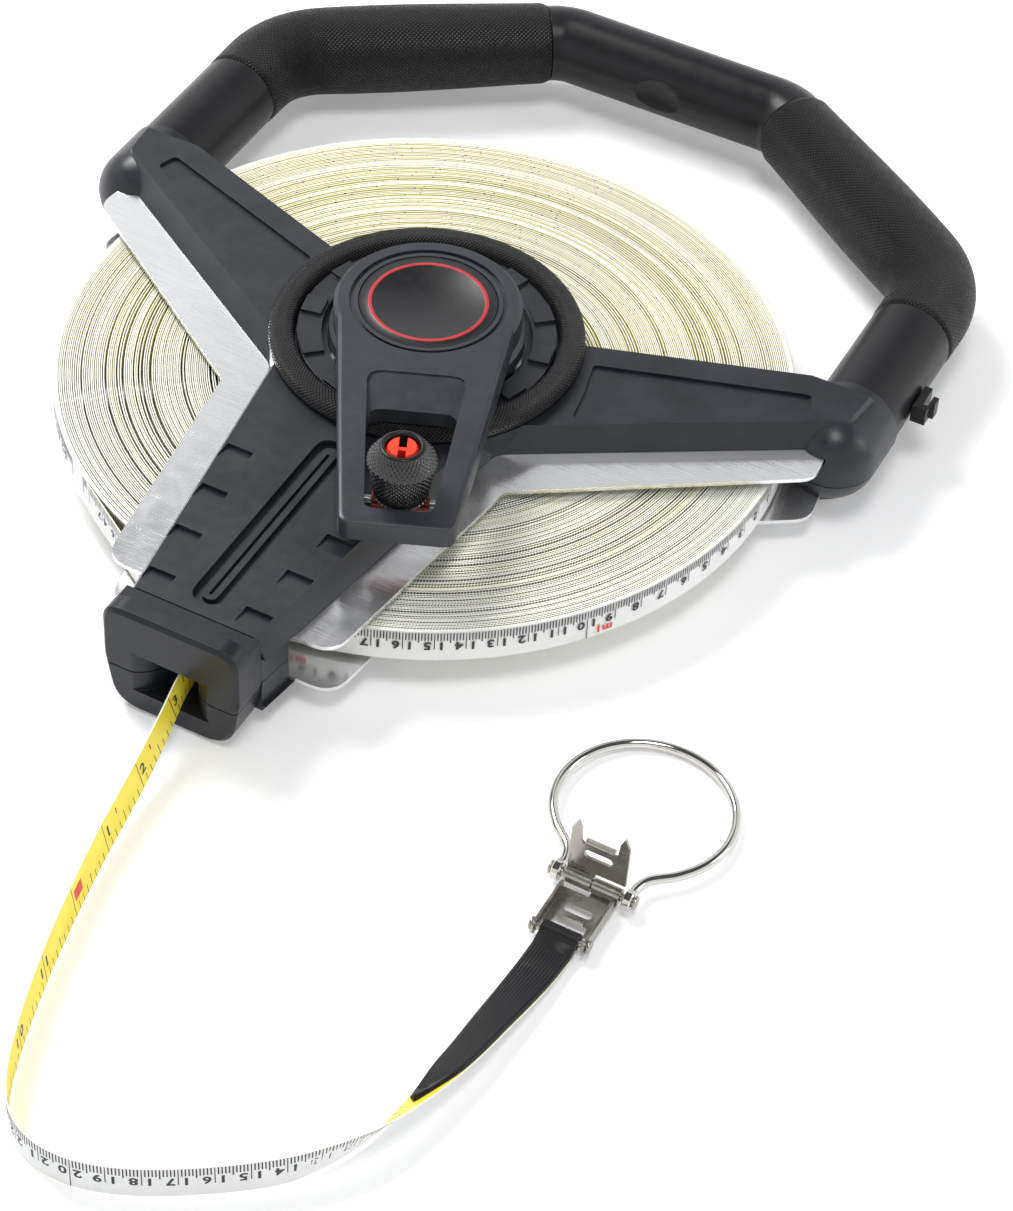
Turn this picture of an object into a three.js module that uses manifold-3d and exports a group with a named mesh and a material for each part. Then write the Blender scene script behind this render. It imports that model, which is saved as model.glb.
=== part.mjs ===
// Surveyor's open-reel long tape: a Y-shaped frame with a bent handle, a reel of 12.7 mm tape
// turned by a crank with a folding knob, and a paid-out end with a folding hook.
// Millimetres, +Z up. The origin is on the reel's axis, on the face that the reel rests on.
// The tape leaves towards -Y and the handle is on the +Y side.
import * as THREE from "three";
import { mergeVertices } from "three/addons/utils/BufferGeometryUtils.js";
import Module from "manifold-3d";

const wasm = await Module();
wasm.setup();

// ---- driving dimensions ----------------------------------------------------------------
const GAP = 0.3;                    // clearance kept between pieces that meet
const TAPE_WIDTH = 12.7;
const TAPE_THICKNESS = 0.5;
const MID_Z = 18.65;                // middle plane of the wound tape
const PACK_RADIUS = 125.7;
const CORE_RADIUS = 50;
const GUARD_SPACE = 17.1;           // between the inner faces of the two guard plates
const GUARD_THICKNESS = 1.5;
const COVER_TOP = 37.5;
const FOOT_Z = 1.5;                 // underside of the lower cover's arms
const HUB_RADIUS = 53;              // round middle of the covers and the grip ring on it
const CHAMFER = 4.2;                // how far the covers' sides lean in
const AXLE_RADIUS = 6;

const HANDLE_Z = 21;
const LEG_X = 135.5;
const LEG_RADIUS = 15;
const LEG_END_Y = 103;
const CENTRE_RADIUS = 14.2;
const GRIP_BULGE = 1.3;             // how much fatter a grip is in its middle
const SHOULDER = [LEG_X, 132.4];    // where the leg's line meets the sloping grip's line
const CROWN = [46, 194.8];          // where the grip's line meets the middle piece's line
const SOCKET_RADIUS = 15.8;
const SOCKET_Y = [36, 54];          // the socket's straight stretch, rounded off before it
const SPIGOT_RADIUS = 13;
const DOWEL_RADIUS = 9;

const MOUTH_Y = [-164, -149.3];
const MOUTH_HALF_WIDTH = 24.3;
const MOUTH_TOP = 42;
const MOUTH_SPLIT = 16.9;
const SLOT_HALF_WIDTH = 18.2;
const SLOT_Z = [8.9, 25.4];
const THROAT_HALF_WIDTH = 5;
const TAPE_EXIT_Z = 16.6;           // middle of the tape as it passes the mouth

const CRANK_ANGLE = THREE.MathUtils.degToRad(23.3);   // from -Y towards +X
const CRANK_Z = [44.6, 52.4];
const CRANK_REACH = 106.5;
const CRANK_END_HALF_WIDTH = 18.3;
const CAP_RADIUS = 31.6;
const CAP_TOP = 54;
const LABEL_RADIUS = 23.2;
const KNOB_REACH = 90.3;
const KNOB_PIN_Z = 47.2;
const KNOB_BASE_Z = 50.3;
const KNOB_TOP = 71.5;

const HOOK_X = 144.9;               // the hook's long axis, parallel to Y
const TAPE_PIN_Y = -180.5;
const TAPE_PIN_Z = 4;
const HINGE_PIN_Y = -159;
const HINGE_PIN_Z = 4.6;
const RING_CENTRE_Y = -123.3;
const RING_RADIUS = 28.2;           // to the middle of the wire
const RING_WIRE_RADIUS = 1.6;

// The route of the free tape's middle line from the mouth to the hook's tape pin, and how far
// the tape leans from standing on edge at each point, in degrees: 0 on edge, 90 lying flat.
const TAPE_ROUTE = [
  [1.2, -150, TAPE_EXIT_Z, 0], [2.6, -162, 16.1, 3], [4.7, -176, 12.6, 6], [7.2, -194, 9.2, 8],
  [11.0, -220, 7.3, 8], [18.2, -254, 6.8, 6], [23.0, -272, 6.8, 4], [29.4, -292, 6.8, 2],
  [36.2, -308, 6.8, 0], [43.6, -317.6, 6.8, 0], [53.0, -322.6, 6.8, 0], [63.8, -323.4, 6.8, 0],
  [73.4, -321.4, 6.8, 0], [84.4, -316.8, 6.8, 0], [98.8, -308.2, 6.8, 0], [111.9, -298.6, 6.9, 0],
  [118.6, -292.6, 7, 2], [124.1, -285.8, 7.1, 8.2], [129.2, -277.9, 7, 16.2],
  [133.3, -269.3, 6.6, 26], [136, -260.1, 5.9, 36], [138, -250.7, 5.3, 46],
  [139.7, -241.4, 4.8, 53.3], [141.3, -230.1, 4.2, 60.8], [142.4, -218.6, 3.5, 68.3],
  [143.6, -207.3, 2.9, 76], [144.5, -196.6, 2.4, 84], [144.9, -186, 2, 90],
];

// ---- materials -------------------------------------------------------------------------
const finish = (color, roughness, metalness = 0) =>
  new THREE.MeshStandardMaterial({ color, roughness, metalness });
const COVER_PLASTIC = finish(0x35363b, 0.5);
const SMOOTH_PLASTIC = finish(0x2c2d31, 0.38);
const GRIP_RUBBER = finish(0x2a2a2d, 0.7);
const CRANK_PLASTIC = finish(0x303136, 0.45);
const RED_PLASTIC = finish(0xd8321e, 0.4);
const LABEL_FILM = finish(0x1d1e20, 0.35);
const BRUSHED_STEEL = finish(0xd0d2d4, 0.3, 1);
const NICKEL = finish(0xc9c5bd, 0.22, 1);
const DARK_STEEL = finish(0x77797c, 0.4, 1);
const WHITE_TAPE = finish(0xeeeee6, 0.5);
const SPOOL_PLASTIC = finish(0xb9bbb8, 0.5);

// ---- helpers ---------------------------------------------------------------------------
const group = new THREE.Group();

/** A closed solid for cutting and joining, from a closed geometry. */
function solid(geometry) {
  const bare = geometry.clone();
  bare.deleteAttribute("normal");
  bare.deleteAttribute("uv");
  const merged = mergeVertices(bare, 1e-4);
  const corners = [];
  for (let i = 0; i < merged.index.count; i += 3) {
    const [a, b, c] = [0, 1, 2].map((k) => merged.index.getX(i + k));
    if (a !== b && b !== c && c !== a) corners.push(a, b, c);
  }
  return new wasm.Manifold(new wasm.Mesh({
    numProp: 3,
    vertProperties: new Float32Array(merged.attributes.position.array),
    triVerts: new Uint32Array(corners),
  }));
}

function toGeometry(body) {
  const mesh = body.getMesh();
  const geometry = new THREE.BufferGeometry();
  geometry.setAttribute("position", new THREE.BufferAttribute(mesh.vertProperties, 3));
  geometry.setIndex(new THREE.BufferAttribute(mesh.triVerts, 1));
  return geometry;
}

/** Adds a named piece to the object, or to a turned sub-group. */
function piece(name, shape, material, parent = group) {
  const geometry = shape.isBufferGeometry ? shape : toGeometry(shape);
  const mesh = new THREE.Mesh(geometry, material);
  mesh.name = name;
  parent.add(mesh);
  return mesh;
}

const join = (...bodies) => bodies.reduce((whole, body) => whole.add(body));
const cut = (body, ...tools) => tools.reduce((rest, tool) => rest.subtract(tool), body);

/** A shape from corners [x, y, radius]; a corner with no radius stays sharp. */
function outline(corners) {
  const shape = new THREE.Shape();
  const count = corners.length;
  const at = (i) => new THREE.Vector2(...corners[(i + count) % count].slice(0, 2));
  corners.forEach(([x, y, radius = 0], i) => {
    const corner = new THREE.Vector2(x, y);
    const before = at(i - 1).sub(corner);
    const after = at(i + 1).sub(corner);
    const opening = Math.abs(before.angleTo(after));
    const reach = radius === 0 ? 0 : radius / Math.tan(opening / 2);
    const start = corner.clone().addScaledVector(before.normalize(), reach);
    const end = corner.clone().addScaledVector(after.normalize(), reach);
    if (i === 0) shape.moveTo(start.x, start.y);
    else shape.lineTo(start.x, start.y);
    if (radius > 0) shape.quadraticCurveTo(x, y, end.x, end.y);
  });
  shape.closePath();
  return shape;
}

/** Both halves of an outline that is the same on either side of the Y axis. */
const mirrored = (half) =>
  outline([...half, ...half.toReversed().filter(([x]) => x !== 0).map(([x, y, r]) => [-x, y, r])]);

const rectangle = (x0, y0, x1, y1, radius = 0) =>
  outline([[x0, y0, radius], [x1, y0, radius], [x1, y1, radius], [x0, y1, radius]]);

function slab(shape, bottom, top, curveSegments = 4) {
  return new THREE.ExtrudeGeometry(shape, {
    depth: top - bottom, bevelEnabled: false, curveSegments,
  }).translate(0, 0, bottom);
}

/** A slab whose edges lean in by `inset` over the last `rise` at both faces. */
function bevelled(shape, bottom, top, inset, rise, curveSegments = 4, bevelSegments = 1) {
  return new THREE.ExtrudeGeometry(shape, {
    depth: top - bottom - 2 * rise, bevelEnabled: true, bevelThickness: rise, bevelSize: inset,
    bevelOffset: -inset, bevelSegments, curveSegments,
  }).translate(0, 0, bottom + rise);
}

/** A solid of revolution about Z from [radius, z] points. */
function turned(points, segments = 32) {
  const first = points[0];
  const last = points[points.length - 1];
  const onAxis = first[0] === 0 && last[0] === 0;
  const closed = onAxis ? points : [...points, first];
  const profile = closed.map(([radius, z]) => new THREE.Vector2(radius, z));
  return new THREE.LatheGeometry(profile, segments).rotateX(Math.PI / 2);
}

const rod = (radius, bottom, top, segments = 24) =>
  turned([[0, bottom], [radius, bottom], [radius, top], [0, top]], segments);

const alongX = (geometry) => geometry.rotateY(Math.PI / 2);
const alongY = (geometry) => geometry.rotateX(-Math.PI / 2);

const box = (x0, x1, y0, y1, z0, z1) =>
  new THREE.BoxGeometry(x1 - x0, y1 - y0, z1 - z0)
    .translate((x0 + x1) / 2, (y0 + y1) / 2, (z0 + z1) / 2);

const mirrorX = (body) => body.mirror([1, 0, 0]);

// ---- frame: guard plates ----------------------------------------------------------------
const GUARD_TOP = MID_Z + GUARD_SPACE / 2 + GUARD_THICKNESS;
const GUARD_BOTTOM = MID_Z - GUARD_SPACE / 2 - GUARD_THICKNESS;
const GUARD_HALF = [
  [0, -135.3], [41.5, -135.3, 9], [53.6, -44.5, 3], [138.6, 13.0, 8], [136.6, 27.5, 1],
  [118, 36, 3], [0, 14],
];

function guardPlate(bottom, holeRadius) {
  const plate = solid(slab(mirrored(GUARD_HALF), bottom, bottom + GUARD_THICKNESS));
  const disc = solid(rod(CORE_RADIUS, bottom, bottom + GUARD_THICKNESS, 48));
  const hole = solid(rod(holeRadius, bottom - 1, bottom + GUARD_THICKNESS + 1, 40));
  const screwHoles = SCREWS.slice(2, 4).map(({ x, y }) =>
    solid(rod(SCREW_RADIUS + GAP, 0, 40, 16)).translate([x, y, 0]));
  return cut(join(plate, disc), hole, ...screwHoles);
}

/** The room that a cover leaves round a guard plate. */
function guardRoom(bottom) {
  const room = slab(mirrored(GUARD_HALF), bottom - GAP, bottom + GUARD_THICKNESS + GAP);
  return solid(room).scale([1.004, 1.004, 1]);
}

// ---- frame: covers ----------------------------------------------------------------------
const NECK_FRONT = -149;            // the covers' front ends, cut off square behind the mouth
const NECK_LOW = 5.9;               // underside of the neck, clear of the resting face
const COVER_HALF = [
  [0, -156], [24.6, -156], [42.6, -30.4, 9], [133, 26], [144, 33, 10], [145.5, 53.7],
  [119.5, 53.7], [44, 27],
];
const COVER_BASE = GUARD_TOP + GAP;

/** Half of the round socket that holds a handle leg, above or below the parting plane. */
function socket(low, high) {
  const barrel = alongY(rod(SOCKET_RADIUS, SOCKET_Y[0], SOCKET_Y[1], 32));
  const nose = new THREE.SphereGeometry(SOCKET_RADIUS, 32, 16);
  nose.translate(0, SOCKET_Y[0], 0);
  const whole = join(solid(barrel), solid(nose)).translate([LEG_X, 0, HANDLE_Z]);
  const slice = solid(box(LEG_X - 30, LEG_X + 30, 0, 80, low, high));
  return whole.intersect(slice);
}

/** What every cover leaves free: the wound tape, the legs' spigots and the plates. */
function coverRooms(plateBottom) {
  const pack = solid(rod(PACK_RADIUS + 2, GUARD_BOTTOM - GAP, GUARD_TOP + GAP, 72));
  const bore = alongY(rod(SPIGOT_RADIUS + GAP, 33.7, 70, 32)).translate(LEG_X, 0, HANDLE_Z);
  const boreRight = solid(bore);
  return [pack, boreRight, mirrorX(boreRight), guardRoom(plateBottom)];
}

/** The short neck between the plates' front ends and the mouth, open inside for the tape. */
function neck(low, high) {
  const plan = mirrored([[0, NECK_FRONT], [24.1, NECK_FRONT], [26, -136], [0, -136]]);
  const whole = solid(slab(plan, low, high));
  const channel = solid(box(-17, 17, -150, -135, 8.2, GUARD_TOP - 1));
  const entry = solid(box(-27, 0, -141, -135, 8.2, GUARD_TOP - 1));
  return cut(whole, channel, entry);
}

const SCREWS = [
  { x: 20.9, y: -144, head: NECK_LOW }, { x: -20.9, y: -144, head: NECK_LOW },
  { x: 129.5, y: 29, head: 3.4 }, { x: -129.5, y: 29, head: 3.4 },
  { x: LEG_X, y: 45, head: 5.2 }, { x: -LEG_X, y: 45, head: 5.2 },
];
const SCREW_LENGTH = 24;
const SCREW_HEAD = { radius: 3.3, height: 2.4 };
const SCREW_RADIUS = 1.7;

const screwBore = ({ x, y, head }, top) => join(
  solid(rod(SCREW_RADIUS + GAP, head - 1, top, 16)),
  solid(rod(SCREW_HEAD.radius + GAP, head - 8, head + SCREW_HEAD.height + GAP, 20)),
).translate([x, y, 0]);

function topCover() {
  const arms = solid(bevelled(mirrored(COVER_HALF), COVER_BASE - (COVER_TOP - COVER_BASE) - 4,
    COVER_TOP, CHAMFER, COVER_TOP - COVER_BASE));
  const above = solid(box(-200, 200, NECK_FRONT, 100, COVER_BASE, COVER_TOP + 1));
  const hub = solid(rod(HUB_RADIUS, COVER_BASE, COVER_TOP, 48));
  const socketHalf = socket(MID_Z + GAP / 2, COVER_TOP);
  const body = join(arms.intersect(above), hub, socketHalf, mirrorX(socketHalf),
    neck(MID_Z + GAP / 2, COVER_BASE + 1));
  const crankWell = solid(rod(33.6, COVER_BASE - 5, COVER_TOP + 1, 48));
  const bores = SCREWS.map((screw) => screwBore(screw, screw.head + SCREW_LENGTH + 1));
  return cut(body, crankWell, ...coverRooms(GUARD_TOP - GUARD_THICKNESS), ...bores,
    ...armPanels(), ribbedSlot(), ...edgeNotches());
}

/** The shallow panel sunk into the top of each rear arm. */
function armPanels() {
  const depth = 1.1;
  const shape = outline([[54.4, 16.6, 1.5], [124, 40.4, 2], [126.6, 33, 2], [60, -10.4, 1.5],
    [57.8, 3.4]]);
  const right = solid(slab(shape, COVER_TOP - depth, COVER_TOP + 1));
  return [right, mirrorX(right)];
}

/** The long slot down the front arm, with an island that carries two ribs. */
function ribbedSlot() {
  const depth = 2.2;
  const trough = solid(slab(rectangle(-5.6, -144.2, 5.6, -60, 5.5), COVER_TOP - depth,
    COVER_TOP + 1));
  const island = solid(slab(rectangle(-2.7, -141.6, 2.7, -63, 2.6), COVER_TOP - depth - 1,
    COVER_TOP - 0.6));
  const groove = solid(slab(rectangle(-0.6, -139.4, 0.6, -66, 0.5), COVER_TOP - depth, COVER_TOP));
  return cut(trough, cut(island, groove));
}

/** Ramped square pockets at equal steps along both edges of the front arm's top. */
function edgeNotches() {
  const size = 7;
  const pocket = solid(box(0, 9.6, -size, 0, 0, 4)).rotate([-9, 0, 0]);
  return Array.from({ length: 4 }, (_, i) => {
    const right = pocket.translate([20.9 - i * 2.75, -78.5 - i * 20.1, COVER_TOP - 1.3]);
    return [right, mirrorX(right)];
  }).flat();
}

function bottomCover() {
  const top = GUARD_BOTTOM - GAP;
  const height = top - FOOT_Z;
  const arms = solid(bevelled(mirrored(COVER_HALF), FOOT_Z, top + height + 4, CHAMFER, height));
  const below = solid(box(-200, 200, NECK_FRONT, 100, FOOT_Z - 1, top));
  const boss = solid(turned([[0, 0], [46, 0], [49, 1.5], [HUB_RADIUS - 2, top], [0, top]], 48));
  const socketHalf = socket(0, MID_Z - GAP / 2);
  const body = join(arms.intersect(below), boss, socketHalf, mirrorX(socketHalf),
    neck(NECK_LOW, MID_Z - GAP / 2));
  const lift = solid(box(-40, 40, -150, -133.5, 0, NECK_LOW));
  const axleBore = solid(rod(AXLE_RADIUS - 1 + GAP, 2.7, top + 1, 24));
  const bores = SCREWS.map((screw) => screwBore(screw, MID_Z + 2));
  return cut(body, lift, axleBore, ...coverRooms(GUARD_BOTTOM), ...bores);
}

function coverScrew({ x, y, head }) {
  const { radius, height } = SCREW_HEAD;
  const top = head + SCREW_LENGTH;
  const body = solid(turned([[0, head], [radius, head], [radius, head + height * 0.5],
    [SCREW_RADIUS, head + height], [SCREW_RADIUS, top - 1], [0, top]], 16));
  const slots = [0, 90].map((turn) =>
    solid(box(-2.2, 2.2, -0.45, 0.45, head - 1, head + 1)).rotate([0, 0, turn]));
  return cut(body, ...slots).translate([x, y, 0]);
}

// ---- frame: tape mouth ------------------------------------------------------------------
/** The flared slot that the tape leaves by, narrowing between two rounded cheeks. */
function mouthFunnel() {
  const [front, back] = MOUTH_Y;
  const shape = new THREE.Shape();
  shape.moveTo(-SLOT_HALF_WIDTH, front - 1);
  shape.lineTo(SLOT_HALF_WIDTH, front - 1);
  shape.quadraticCurveTo(THROAT_HALF_WIDTH + 1.5, front + 0.8, THROAT_HALF_WIDTH, front + 11);
  shape.lineTo(THROAT_HALF_WIDTH, back + 1);
  shape.lineTo(-THROAT_HALF_WIDTH, back + 1);
  shape.lineTo(-THROAT_HALF_WIDTH, front + 11);
  shape.quadraticCurveTo(-THROAT_HALF_WIDTH - 1.5, front + 0.8, -SLOT_HALF_WIDTH, front - 1);
  return solid(slab(shape, SLOT_Z[0], SLOT_Z[1], 8));
}

function mouthHalf(low, high) {
  const [front, back] = MOUTH_Y;
  const w = MOUTH_HALF_WIDTH;
  const face = outline([[-w + 3.4, 0, 11], [w - 3.4, 0, 11], [w, 20], [w, MOUTH_TOP, 7.5],
    [-w, MOUTH_TOP, 7.5], [-w, 20]]);
  const block = new THREE.ExtrudeGeometry(face, {
    depth: back - front - 1.3, bevelEnabled: true, bevelThickness: 1.3, bevelSize: 1.3,
    bevelOffset: -1.3, bevelSegments: 1, curveSegments: 8,
  });
  block.rotateX(Math.PI / 2).translate(0, back, 0);
  const step = solid(box(-40, 40, front + 7.2, back + 5, COVER_TOP, 60));
  const slice = solid(box(-40, 40, front - 5, back, low, high));
  return cut(solid(block).intersect(slice), mouthFunnel(), step);
}

// ---- frame: hub ring, bezel and axle ----------------------------------------------------
function hubRing() {
  const low = COVER_TOP + GAP;
  return turned([[44.2, low], [52.6, low], [53.3, low + 1.6], [52.9, low + 3.8],
    [51.2, low + 5.4], [48.8, low + 6], [46.4, low + 5.4], [44.6, low + 3.8]], 48);
}

/** A stepped ring inside the grip ring, with raised blocks at equal angles. */
function hubBezel() {
  const low = COVER_TOP + GAP;
  const ring = solid(turned([[35.4, low], [43.8, low], [43.8, low + 2.8], [35.4, low + 2.8]], 48));
  const blocks = Array.from({ length: 12 }, (_, i) =>
    solid(box(36.1, 43.3, -4.2, 4.2, low + 1, low + 4)).rotate([0, 0, i * 30 + 12]));
  return join(ring, ...blocks);
}

function axle() {
  const base = GUARD_BOTTOM + GAP;
  return turned([[0, 3], [AXLE_RADIUS - 1, 3], [AXLE_RADIUS - 1, base], [15, base],
    [15, base + 2], [AXLE_RADIUS, base + 2], [AXLE_RADIUS, 43.5], [2.8, 43.5], [2.8, 30],
    [0, 30]], 24);
}

// ---- frame: handle ----------------------------------------------------------------------
/** A straight leg: a spigot in the socket, the bare tube, and a dowel in the grip. */
function handleLeg() {
  const start = SOCKET_Y[1] + GAP;
  const leg = solid(alongY(turned([[0, 34], [SPIGOT_RADIUS, 34], [SPIGOT_RADIUS, start],
    [LEG_RADIUS, start], [LEG_RADIUS, LEG_END_Y - 0.8], [LEG_RADIUS - 0.8, LEG_END_Y],
    [DOWEL_RADIUS, LEG_END_Y], [DOWEL_RADIUS, LEG_END_Y + 9], [0, LEG_END_Y + 9]], 32))
    .translate(LEG_X, 0, HANDLE_Z));
  return cut(leg, screwBore(SCREWS[4], 40));
}

/** A swept tube through route points whose radius follows radiusAt(0..1). */
function sweptTube(path, radiusAt, steps) {
  const circle = new THREE.Shape();
  circle.absarc(0, 0, 1, 0, 2 * Math.PI);
  const tube = new THREE.ExtrudeGeometry(circle, {
    depth: 1, steps, bevelEnabled: false, curveSegments: 12,
  });
  const place = tube.attributes.position;
  const up = new THREE.Vector3(0, 0, 1);
  for (let i = 0; i < place.count; i += 1) {
    const t = THREE.MathUtils.clamp(place.getZ(i), 0, 1);
    const centre = path.getPointAt(t);
    const side = path.getTangentAt(t).cross(up);
    const radius = radiusAt(t);
    const point = centre.addScaledVector(up, place.getY(i) * radius)
      .addScaledVector(side, -place.getX(i) * radius);
    place.setXYZ(i, point.x, point.y, point.z);
  }
  return tube;
}

/** The handle's middle line from one place to another, as straights and rounded bends. */
function handlePath(...stretches) {
  const path = new THREE.CurvePath();
  stretches.forEach((points) => {
    const [a, b, c] = points.map(([x, y]) => new THREE.Vector3(x, y, HANDLE_Z));
    path.add(c ? new THREE.QuadraticBezierCurve3(a, b, c) : new THREE.LineCurve3(a, b));
  });
  return path;
}

const slope = new THREE.Vector2(...CROWN).sub(new THREE.Vector2(...SHOULDER)).normalize();
const along = ([x, y], distance) => [x + slope.x * distance, y + slope.y * distance];
const GRIP_END = along(CROWN, -7);
const CENTRE_START = along(CROWN, -7 + GAP);

function dowelAt([x, y], direction, from, to, radius) {
  return solid(alongY(rod(radius, from, to, 24)))
    .rotate([0, 0, THREE.MathUtils.radToDeg(Math.atan2(direction.y, direction.x)) - 90])
    .translate([x, y, HANDLE_Z]);
}

function grip() {
  const start = [LEG_X, LEG_END_Y + GAP];
  const path = handlePath([start, [LEG_X, SHOULDER[1] - 17]],
    [[LEG_X, SHOULDER[1] - 17], SHOULDER, along(SHOULDER, 17)], [along(SHOULDER, 17), GRIP_END]);
  const bulge = (t) => LEG_RADIUS + 0.2 + GRIP_BULGE * Math.sin(Math.PI * t) ** 1.5;
  const tube = solid(sweptTube(path, bulge, 24));
  const legHole = solid(alongY(rod(DOWEL_RADIUS + GAP, LEG_END_Y - 5, LEG_END_Y + 10, 24))
    .translate(LEG_X, 0, HANDLE_Z));
  return cut(tube, legHole, dowelAt(GRIP_END, slope, -10, 5, DOWEL_RADIUS + GAP));
}

function handleCentre() {
  const [x, y] = CENTRE_START;
  const bend = along(CROWN, -6);
  const inner = CROWN[0] - 6;
  const path = handlePath([[x, y], bend], [bend, CROWN, [inner, CROWN[1]]],
    [[inner, CROWN[1]], [-inner, CROWN[1]]],
    [[-inner, CROWN[1]], [-CROWN[0], CROWN[1]], [-bend[0], bend[1]]],
    [[-bend[0], bend[1]], [-x, y]]);
  const tube = solid(sweptTube(path, () => CENTRE_RADIUS, 28));
  const dowel = dowelAt(CENTRE_START, slope, -9, 3, DOWEL_RADIUS);
  const thumbRest = solid(new THREE.SphereGeometry(9, 24, 12).scale(1.1, 0.5, 0.9)
    .translate(0, CROWN[1] - CENTRE_RADIUS - 1.2, HANDLE_Z + 1));
  return cut(join(tube, dowel, mirrorX(dowel)), thumbRest);
}

/** A small open hook on the right leg that the tape's ring is parked on. */
function ringPark() {
  const inside = LEG_X + LEG_RADIUS + GAP;
  const [low, high] = [HANDLE_Z - 3.4, HANDLE_Z + 3.4];
  const base = solid(box(inside, inside + 3, 67, 79, low, high));
  const arm = solid(box(inside + 2, inside + 5.4, 67, 75.5, low, high));
  const nib = solid(box(inside + 4.4, inside + 6.8, 71.5, 75.5, low, high));
  const throat = solid(box(inside + 3, inside + 4.7, 70, 77, low - 1, high + 1));
  return cut(join(base, arm, nib), throat);
}

// ---- reel: spool, wound tape and crank --------------------------------------------------
const PACK_LOW = MID_Z - TAPE_WIDTH / 2;
const PACK_HIGH = MID_Z + TAPE_WIDTH / 2;
const BUSH_OUTER = 8.4;
const SQUARE = 12.5;                // half the side of the spool's drive square

function spool() {
  const rim = solid(turned([[BUSH_OUTER + GAP, PACK_LOW], [15, PACK_LOW], [15, 16],
    [46, 16], [46, PACK_LOW], [CORE_RADIUS - GAP, PACK_LOW], [CORE_RADIUS - GAP, PACK_HIGH],
    [46, PACK_HIGH], [46, 19], [BUSH_OUTER + GAP, 19]], 48));
  const square = solid(box(-SQUARE, SQUARE, -SQUARE, SQUARE, 18.5, 34));
  return cut(join(rim, square), solid(rod(BUSH_OUTER + GAP, 0, 40, 32)));
}

const bush = (low, high) => turned([[AXLE_RADIUS + GAP, low], [BUSH_OUTER, low],
  [BUSH_OUTER, high], [AXLE_RADIUS + GAP, high]], 24);

/** The crank in its own frame: the arm runs along -Y from the reel's axis. */
function crankArm() {
  const [low, high] = CRANK_Z;
  const lean = Math.asin((CAP_RADIUS - CRANK_END_HALF_WIDTH) / CRANK_REACH);
  const shoulderX = (CAP_RADIUS - 1) * Math.cos(lean);
  const shoulderY = -(CAP_RADIUS - 1) * Math.sin(lean);
  const shape = outline([[-shoulderX, shoulderY], [-CRANK_END_HALF_WIDTH, -CRANK_REACH, 4.5],
    [CRANK_END_HALF_WIDTH, -CRANK_REACH, 4.5], [shoulderX, shoulderY]]);
  const whole = bevelled(shape, low - 8, CAP_TOP, 1.8, 1.8, 4, 2);
  const fall = (CAP_TOP - high) / (CRANK_REACH - CAP_RADIUS);
  const tilt = new THREE.Matrix4().set(1, 0, 0, 0, 0, 1, 0, 0, 0, fall, 1, fall * CAP_RADIUS,
    0, 0, 0, 1);
  const level = solid(whole.clone()).intersect(solid(box(-60, 60, -CAP_RADIUS, 20, low, 70)));
  const sloping = solid(whole.applyMatrix4(tilt))
    .intersect(solid(box(-60, 60, -140, -CAP_RADIUS, low, 70)));
  const arm = join(level, sloping);
  const cap = solid(turned([[0, 38.2], [33, 38.2], [33, 43], [CAP_RADIUS, 44.5],
    [CAP_RADIUS, CAP_TOP - 1.4], [CAP_RADIUS - 1.4, CAP_TOP], [0, CAP_TOP]], 64));
  const boss = solid(rod(22.5, GUARD_TOP - GUARD_THICKNESS, 40, 40));
  const bore = solid(rod(AXLE_RADIUS + GAP, 20, 46, 32));
  const squareHole = solid(box(-SQUARE - GAP, SQUARE + GAP, -SQUARE - GAP, SQUARE + GAP, 20,
    34 + GAP));
  const screwWell = solid(rod(10, 44, 60, 32));
  const labelWell = solid(turned([[0, CAP_TOP - 1.6], [LABEL_RADIUS + GAP, CAP_TOP - 1.6],
    [LABEL_RADIUS + GAP, CAP_TOP - 0.3], [25, CAP_TOP - 0.3], [25, CAP_TOP - 1.3],
    [26.4, CAP_TOP - 1.3], [26.4, CAP_TOP + 1], [0, CAP_TOP + 1]], 64));
  const scoop = solid(slab(outline([[-16.6, -36.5, 5], [16.6, -36.5, 5], [14.4, -60],
    [-14.4, -60]]), 0, 12)).translate([0, 36.5, 0]).rotate([13, 0, 0])
    .translate([0, -36.5, CAP_TOP - 0.6]);
  return cut(join(arm, cap, boss), bore, squareHole, screwWell, labelWell, scoop, knobWindow(),
    knobPinBore());
}

/** The opening in the crank that the knob folds into. */
function knobWindow() {
  const shape = outline([[-15.3, -51, 5], [15.3, -51, 5], [10.8, -99.6, 3], [-10.8, -99.6, 3]]);
  return solid(slab(shape, 40, 60));
}

const knobPinBore = () =>
  solid(alongX(rod(1.7, -20, 20, 16)).translate(0, -KNOB_REACH, KNOB_PIN_Z));

const knobPin = () => alongX(rod(1.4, -16.6, 16.6, 16)).translate(0, -KNOB_REACH, KNOB_PIN_Z);

function crankScrew() {
  const body = solid(turned([[0, 31], [2.5, 31], [2.5, 45.4 + GAP], [9, 45.4 + GAP],
    [9, 47.4], [7.5, 48.4], [0, 48.4]], 20));
  return cut(body, solid(rod(3, 46.4, 50, 6)));
}

const labelDisc = () => turned([[0, CAP_TOP - 1.3], [LABEL_RADIUS, CAP_TOP - 1.3],
  [LABEL_RADIUS, CAP_TOP - 0.5], [0, CAP_TOP - 0.5]], 32);

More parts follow.
